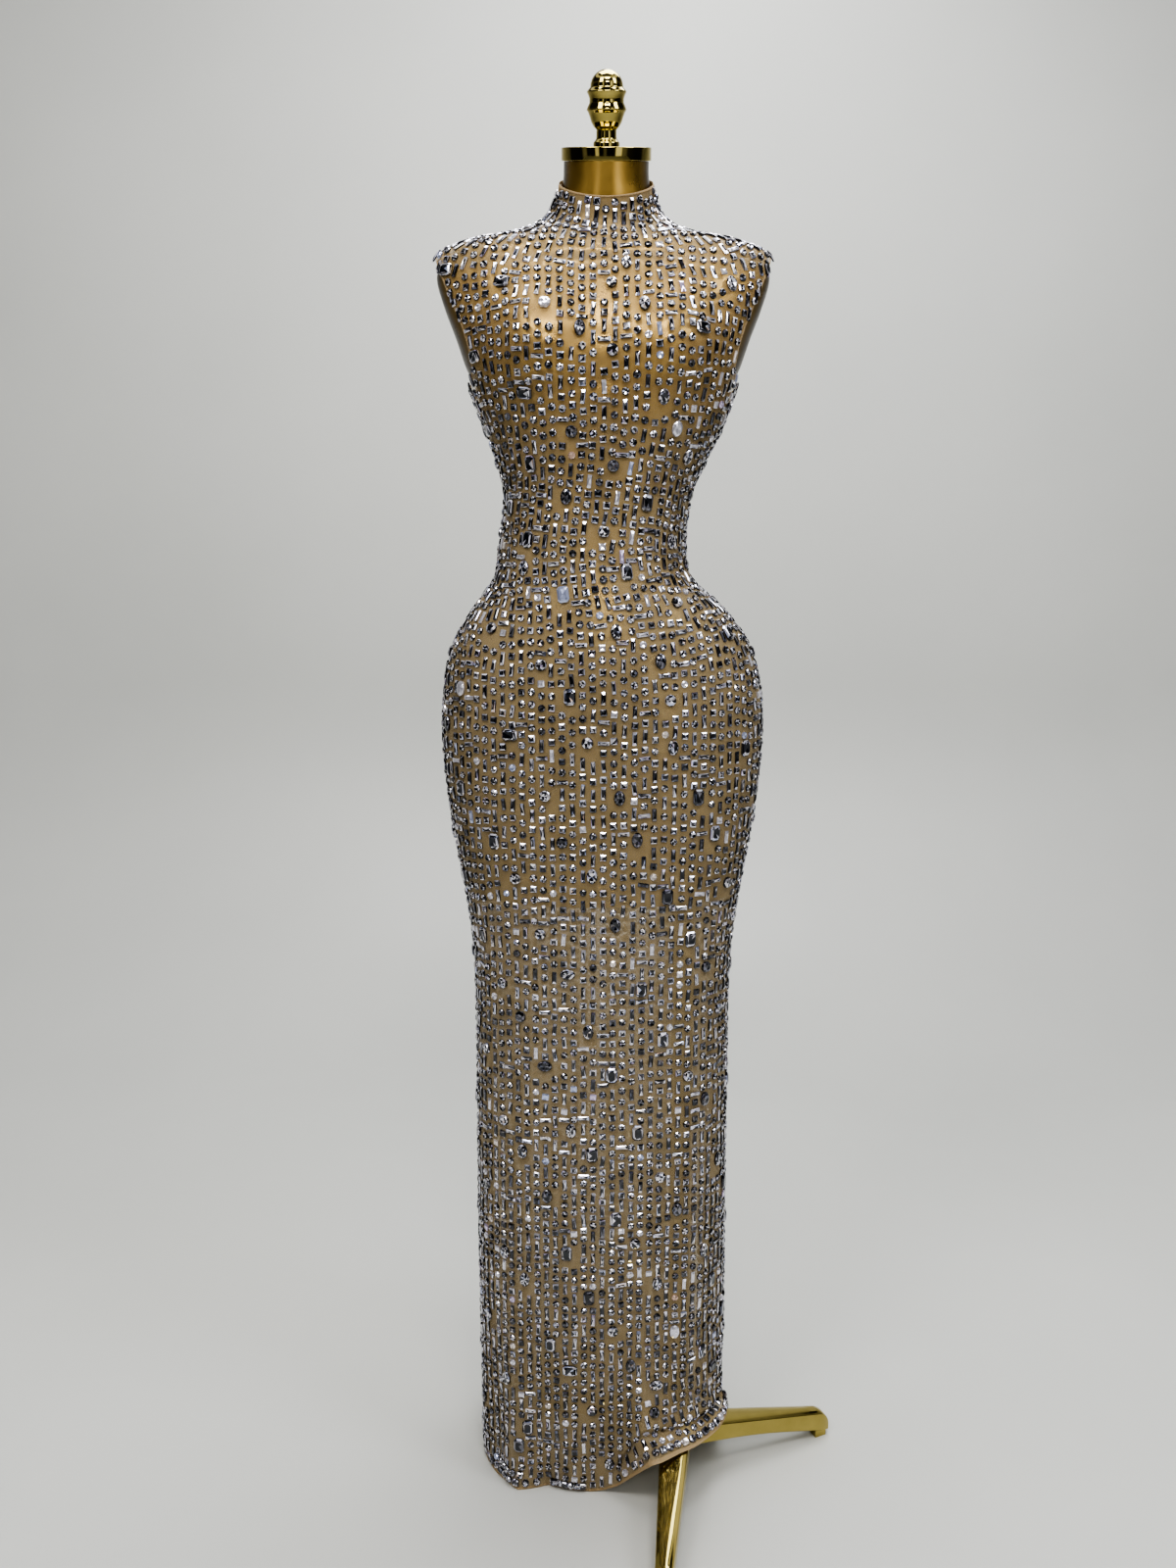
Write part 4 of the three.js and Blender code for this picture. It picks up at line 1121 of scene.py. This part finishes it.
# panel, turn of its middle line, side of that line, first column's distance from it in pitches
column_sides = [
    ("dress_front", 0.0, 1, 0.0), ("dress_front", 0.0, -1, 1.0),
    ("dress_back_right", 2.0, -1, None), ("dress_back_left", 2.0, 1, None),
]
for panel_name, middle_turn, sign, first in column_sides:
    turns, arcs = arc_table(middle_turn, sign)
    is_back = panel_name != "dress_front"
    edge_turn = side_edge(path_rings, is_back)
    edge_turn = np.where(is_back, 2 - edge_turn, edge_turn)
    edge_arcs = np.array([
        arc_at_turn(turns, arcs, middle_turn + sign * e, r) for e, r in zip(edge_turn, path_rings)])
    hip_arc = np.interp(hip_ring, path_rings, edge_arcs)
    pitches = column_pitch * (edge_arcs / hip_arc) ** pitch_easing
    on_chest = (path_rings > chest_pitch["from"]) & (path_rings < chest_pitch["to"])
    pitches = np.where(on_chest, np.maximum(pitches, chest_pitch["least"]), pitches)
    pitches = np.convolve(np.pad(pitches, 4, mode="edge"), np.ones(9) / 9, mode="valid")
    start = 0 * pitches + bare_edge["zip"] + zip_column if first is None else first * pitches
    seam_distances = edge_arcs - seam_inset
    seam_room = (seam_distances - start) % pitches
    columns = [start + column * pitches for column in range(most_columns)]
    columns = [c for c in columns if c.min() <= edge_arcs.max()] + [seam_distances]
    for column, distances in enumerate(columns):
        on_seam = column == len(columns) - 1
        path_turns = np.array([
            turn_at_arc(turns, arcs, d, r) for d, r in zip(distances, path_rings)])
        path = cloth_surface(direction_at(path_turns), path_rings)
        length = np.concatenate([[0], np.cumsum(np.linalg.norm(np.diff(path, axis=0), axis=-1))])
        level_allowed = (column + (sign < 0)) % 2 == 0 and not on_seam
        top = length[-1] - bare_edge["neck"]
        along = bare_edge["hem"] + start_play * stone_random.rand()
        kind = None
        while along < top:
            ring = np.interp(along, length, path_rings)
            _, shares, gap = next(stretch for stretch in column_stretches if ring <= stretch[0])
            before, kind = kind, next_kind(kind, shares, level_allowed)
            room = np.interp(along, length, seam_room) if on_seam else open_room
            if room < seam_room_narrow:
                kind = "upright"
            if along + 2 * small_sizes[kind][1] > top:
                kind = "square"
            half_width, half_height, _ = small_sizes[kind]
            centre = along + half_height
            if centre + half_height > top:
                break
            ring = np.interp(centre, length, path_rings)
            distance = np.interp(centre, length, distances)
            edge = np.interp(ring, path_rings, edge_arcs)
            in_armhole = armhole_table[0, 0] < ring < armhole_table[-1, 0]
            outer_edge = distance + half_width + bare_edge["armhole" if in_armhole else "side"]
            if outer_edge > edge + seam_overhang * on_seam or room < seam_room_least:
                along += edge_step
                kind = before
                continue
            turn = turn_at_arc(turns, arcs, distance, ring)
            here = cloth_surface(direction_at(turn), ring)
            if overlaps_large(here, half_width, half_height):
                along += large_step
                kind = before
                continue
            small_places[kind].append((turn, ring, is_back))
            along = centre + half_height + gap + gap_play * stone_random.rand()
for kind, found in small_places.items():
    found_turns, found_rings, found_back = (np.array(v) for v in zip(*found))
    frames = cloth_frame(direction_at(found_turns), found_rings)
    lean = np.radians(stone_random.normal(0, lean_degrees, len(found)))[:, None]
    right = frames[1] * np.cos(lean) + frames[2] * np.sin(lean)
    up = frames[2] * np.cos(lean) - frames[1] * np.sin(lean)
    half_width, half_height, deep = small_sizes[kind]
    spread_size = 1 + stone_random.normal(0, size_spread, (len(found), 1))
    halves = np.array([[half_width, half_height]]) * spread_size
    for side_name, chosen in (("front", ~found_back), ("back", found_back)):
        set_stones(f"{kind}_stones_{side_name}", small_cuts[kind],
                   [v[chosen] for v in (frames[0], right, up, frames[3])], halves[chosen], deep)

# Zip. The closed chain of small moulded teeth runs up the centre back between the two edges,
# with a slider and a drop-shaped pull left at the top of the neck.
tooth_pitch = 1.5
chain_rings = np.arange(zip_bottom + 1, neckline - 1, tooth_pitch)
tape_thick = 0.8
tooth_size = (1.5, 0.95, 0.9)
tooth_aside = 0.45
tooth_sunk = 0.3
tape_turns = 2 + np.array([-1, 0, 1])[None] * chord_turn(zip_half_width, 2.0, chain_rings)[:, None]
tape = cloth_surface(direction_at(tape_turns), chain_rings[:, None] + 0 * tape_turns)
zip_tape = make_piece("zip_tape", tape.reshape(-1, 3), loft_faces(len(chain_rings), 3, False, False))
thicken(zip_tape, tape_thick)
zip_tape.data.materials.append(metal_finish(
    "zip_nylon", (0.30, 0.20, 0.11), (0.40, 0.27, 0.15), 0.4, 0.6, 0.3))
here, right, up, out = cloth_frame(direction_at(2.0 + 0 * chain_rings), chain_rings)
tooth_side = np.where(np.arange(len(chain_rings)) % 2, tooth_aside, -tooth_aside)[:, None]
tooth_middles = here + right * tooth_side - out * tooth_sunk
zip_teeth = small_blocks("zip_teeth", tooth_middles, right, up, out, tooth_size)
zip_teeth.data.materials.append(zip_tape.data.materials[0])
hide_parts("zip_chain")
zip_metal = metal_finish(
    "zip_metal", (0.50, 0.35, 0.18), (0.66, 0.48, 0.27), 0.25, 0.4, 0.1, Metallic=0.9)
for fitting in ("zip_slider", "zip_pull"):
    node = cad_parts[fitting]
    node.data.materials.clear()
    node.data.materials.append(zip_metal)

# Studio. A plain pale floor curves up into a backdrop, with soft lamps round the dress and the
# camera in front of it. None of it belongs to the dress.
floor_front = -4.4
floor_back = 1.2
sweep_radius = 0.8
backdrop_height = 4.0
floor_half_width = 6.0
floor_mesh = bpy.data.meshes.new("floor")
sweep = [(floor_front, 0.0), (floor_back, 0.0)]
sweep += [(floor_back + sweep_radius * math.sin(a), sweep_radius - sweep_radius * math.cos(a))
          for a in np.linspace(0.1, math.pi / 2, 12)]
sweep += [(floor_back + sweep_radius, backdrop_height)]
floor_points = [(x, y, z) for y, z in sweep for x in (-floor_half_width, floor_half_width)]
floor_faces = [(2 * i, 2 * i + 1, 2 * i + 3, 2 * i + 2) for i in range(len(sweep) - 1)]
floor_mesh.from_pydata(floor_points, [], floor_faces)
floor_mesh.shade_smooth()
floor = bpy.data.objects.new("floor", floor_mesh)
bpy.context.scene.collection.objects.link(floor)
floor_paint, floor_tree, floor_shader = new_finish("pale_floor", Roughness=0.45)
floor_place = add_node(floor_tree, "ShaderNodeTexCoord")
floor_cloud = add_node(floor_tree, "ShaderNodeTexNoise", {
    "Vector": floor_place.outputs["Object"], "Scale": 1.6, "Detail": 5.0})
floor_tint = mixed(floor_tree, floor_cloud.outputs["Fac"], (0.50, 0.51, 0.49, 1), (0.58, 0.585, 0.565, 1))
floor_tree.links.new(floor_tint, floor_shader.inputs["Base Color"])
# The backdrop has one side only, so that the dress can be seen from behind it too.
floor_side = add_node(floor_tree, "ShaderNodeNewGeometry")
floor_solid = maths(floor_tree, "SUBTRACT", 1.0, floor_side.outputs["Backfacing"])
floor_tree.links.new(floor_solid, floor_shader.inputs["Alpha"])
floor_mesh.materials.append(floor_paint)

world = bpy.data.worlds.new("studio")
bpy.context.scene.world = world
world.use_nodes = True
sky = world.node_tree
# Brightness of the room round the dress, by direction in degrees from the camera's side.
room_bands = [
    (-180, 0.5), (-140, 0.5), (-112, 0.3), (-100, 0.03), (-66, 0.02), (-60, 0.3), (-53, 0.3),
    (-50, 0.02), (-30, 0.02), (-28, 1.2), (-21, 1.2), (-19, 0.02), (-9, 0.02), (-7, 0.22), (-1, 0.22),
    (1, 0.02), (22, 0.02), (25, 1.6), (38, 1.6), (41, 0.35), (50, 0.3), (56, 0.06), (80, 0.02),
    (98, 0.03), (108, 0.3), (140, 0.5), (180, 0.5),
]
# Brightness overhead, by height in degrees above the horizon.
room_tiers = [
    (-90, 0.3), (0, 0.3), (22, 0.35), (30, 0.04), (44, 0.04), (48, 1.3), (55, 1.3), (59, 0.05),
    (80, 0.08), (90, 0.3),
]


def brightness_ramp(stops, low, high, value):
    """The brightness of a stretch of the room, between two directions."""
    ramp = add_node(sky, "ShaderNodeValToRGB", {"Fac": value})
    set_stops(ramp.color_ramp, [
        ((place - low) / (high - low), (bright, bright, bright * 1.02)) for place, bright in stops])
    return ramp.outputs["Color"]


sky_place = add_node(sky, "ShaderNodeTexCoord")
sky_axes = add_node(sky, "ShaderNodeSeparateXYZ", {"Vector": sky_place.outputs["Generated"]})
sky_front = maths(sky, "MULTIPLY", sky_axes.outputs["Y"], -1.0)
sky_turn = maths(sky, "ARCTAN2", sky_axes.outputs["X"], sky_front)
sky_around = spread_over(sky, sky_turn, -math.pi, math.pi)
sky_height = maths(sky, "ARCSINE", sky_axes.outputs["Z"])
sky_up = spread_over(sky, sky_height, -math.pi / 2, math.pi / 2)
sky_share = spread_over(sky, sky_height, math.radians(16), math.radians(30))
sky_mix = mixed(sky, sky_share, brightness_ramp(room_bands, -180, 180, sky_around),
                brightness_ramp(room_tiers, -90, 90, sky_up))
# Straight past the dress the room is one plain grey.
sky_seen = add_node(sky, "ShaderNodeLightPath")
sky_shown = mixed(sky, sky_seen.outputs["Is Camera Ray"], sky_mix, (0.78, 0.78, 0.77, 1))
sky.links.new(sky_shown, sky.nodes["Background"].inputs["Color"])
sky.nodes["Background"].inputs["Strength"].default_value = 0.68


def soft_light(name, place, aim, width, height, power, colour=(1, 1, 1)):
    """A soft box at a place in metres, turned towards an aim."""
    lamp = bpy.data.lights.new(name, "AREA")
    lamp.shape = "RECTANGLE"
    lamp.size, lamp.size_y = width, height
    lamp.energy = power
    lamp.color = colour
    holder = bpy.data.objects.new(name, lamp)
    holder.location = place
    x, y, z = np.array(aim, float) - np.array(place, float)
    holder.rotation_euler = (math.atan2(math.hypot(x, y), -z), 0, math.atan2(y, x) - math.pi / 2)
    bpy.context.scene.collection.objects.link(holder)


soft_light("over_left", (-1.3, -1.5, 2.9), (0, 0, 1.0), 0.9, 1.3, 26, (1.0, 0.98, 0.95))
soft_light("over_front", (0.1, -1.7, 3.3), (0, 0, 1.3), 1.1, 0.45, 26, (1.0, 0.96, 0.90))
soft_light("facing", (0.1, -2.6, 2.5), (0, 0, 1.5), 0.9, 0.3, 15, (1.0, 0.96, 0.90))
soft_light("over_right", (1.7, -1.0, 2.7), (0, 0, 1.0), 0.8, 1.3, 20, (0.95, 0.97, 1.0))
soft_light("overhead", (0, 0.3, 3.4), (0, 0.1, 1.0), 1.6, 1.2, 48)
soft_light("behind", (0.5, 1.2, 3.3), (0, 0.1, 0.9), 1.4, 1.0, 20, (0.97, 0.98, 1.0))
bpy.context.scene.view_settings.view_transform = "AgX"
bpy.context.scene.view_settings.look = "AgX - High Contrast"

camera_place = (-0.07164, -1.37266, 1.111)
camera_down = 9.72
lens_length = 28.395
camera = bpy.data.cameras.new("camera")
camera.lens = lens_length
camera.sensor_width = 36
camera_holder = bpy.data.objects.new("camera", camera)
camera_holder.location = camera_place
camera_holder.rotation_euler = (math.radians(90 - camera_down), 0, 0)
bpy.context.scene.collection.objects.link(camera_holder)
bpy.context.scene.camera = camera_holder
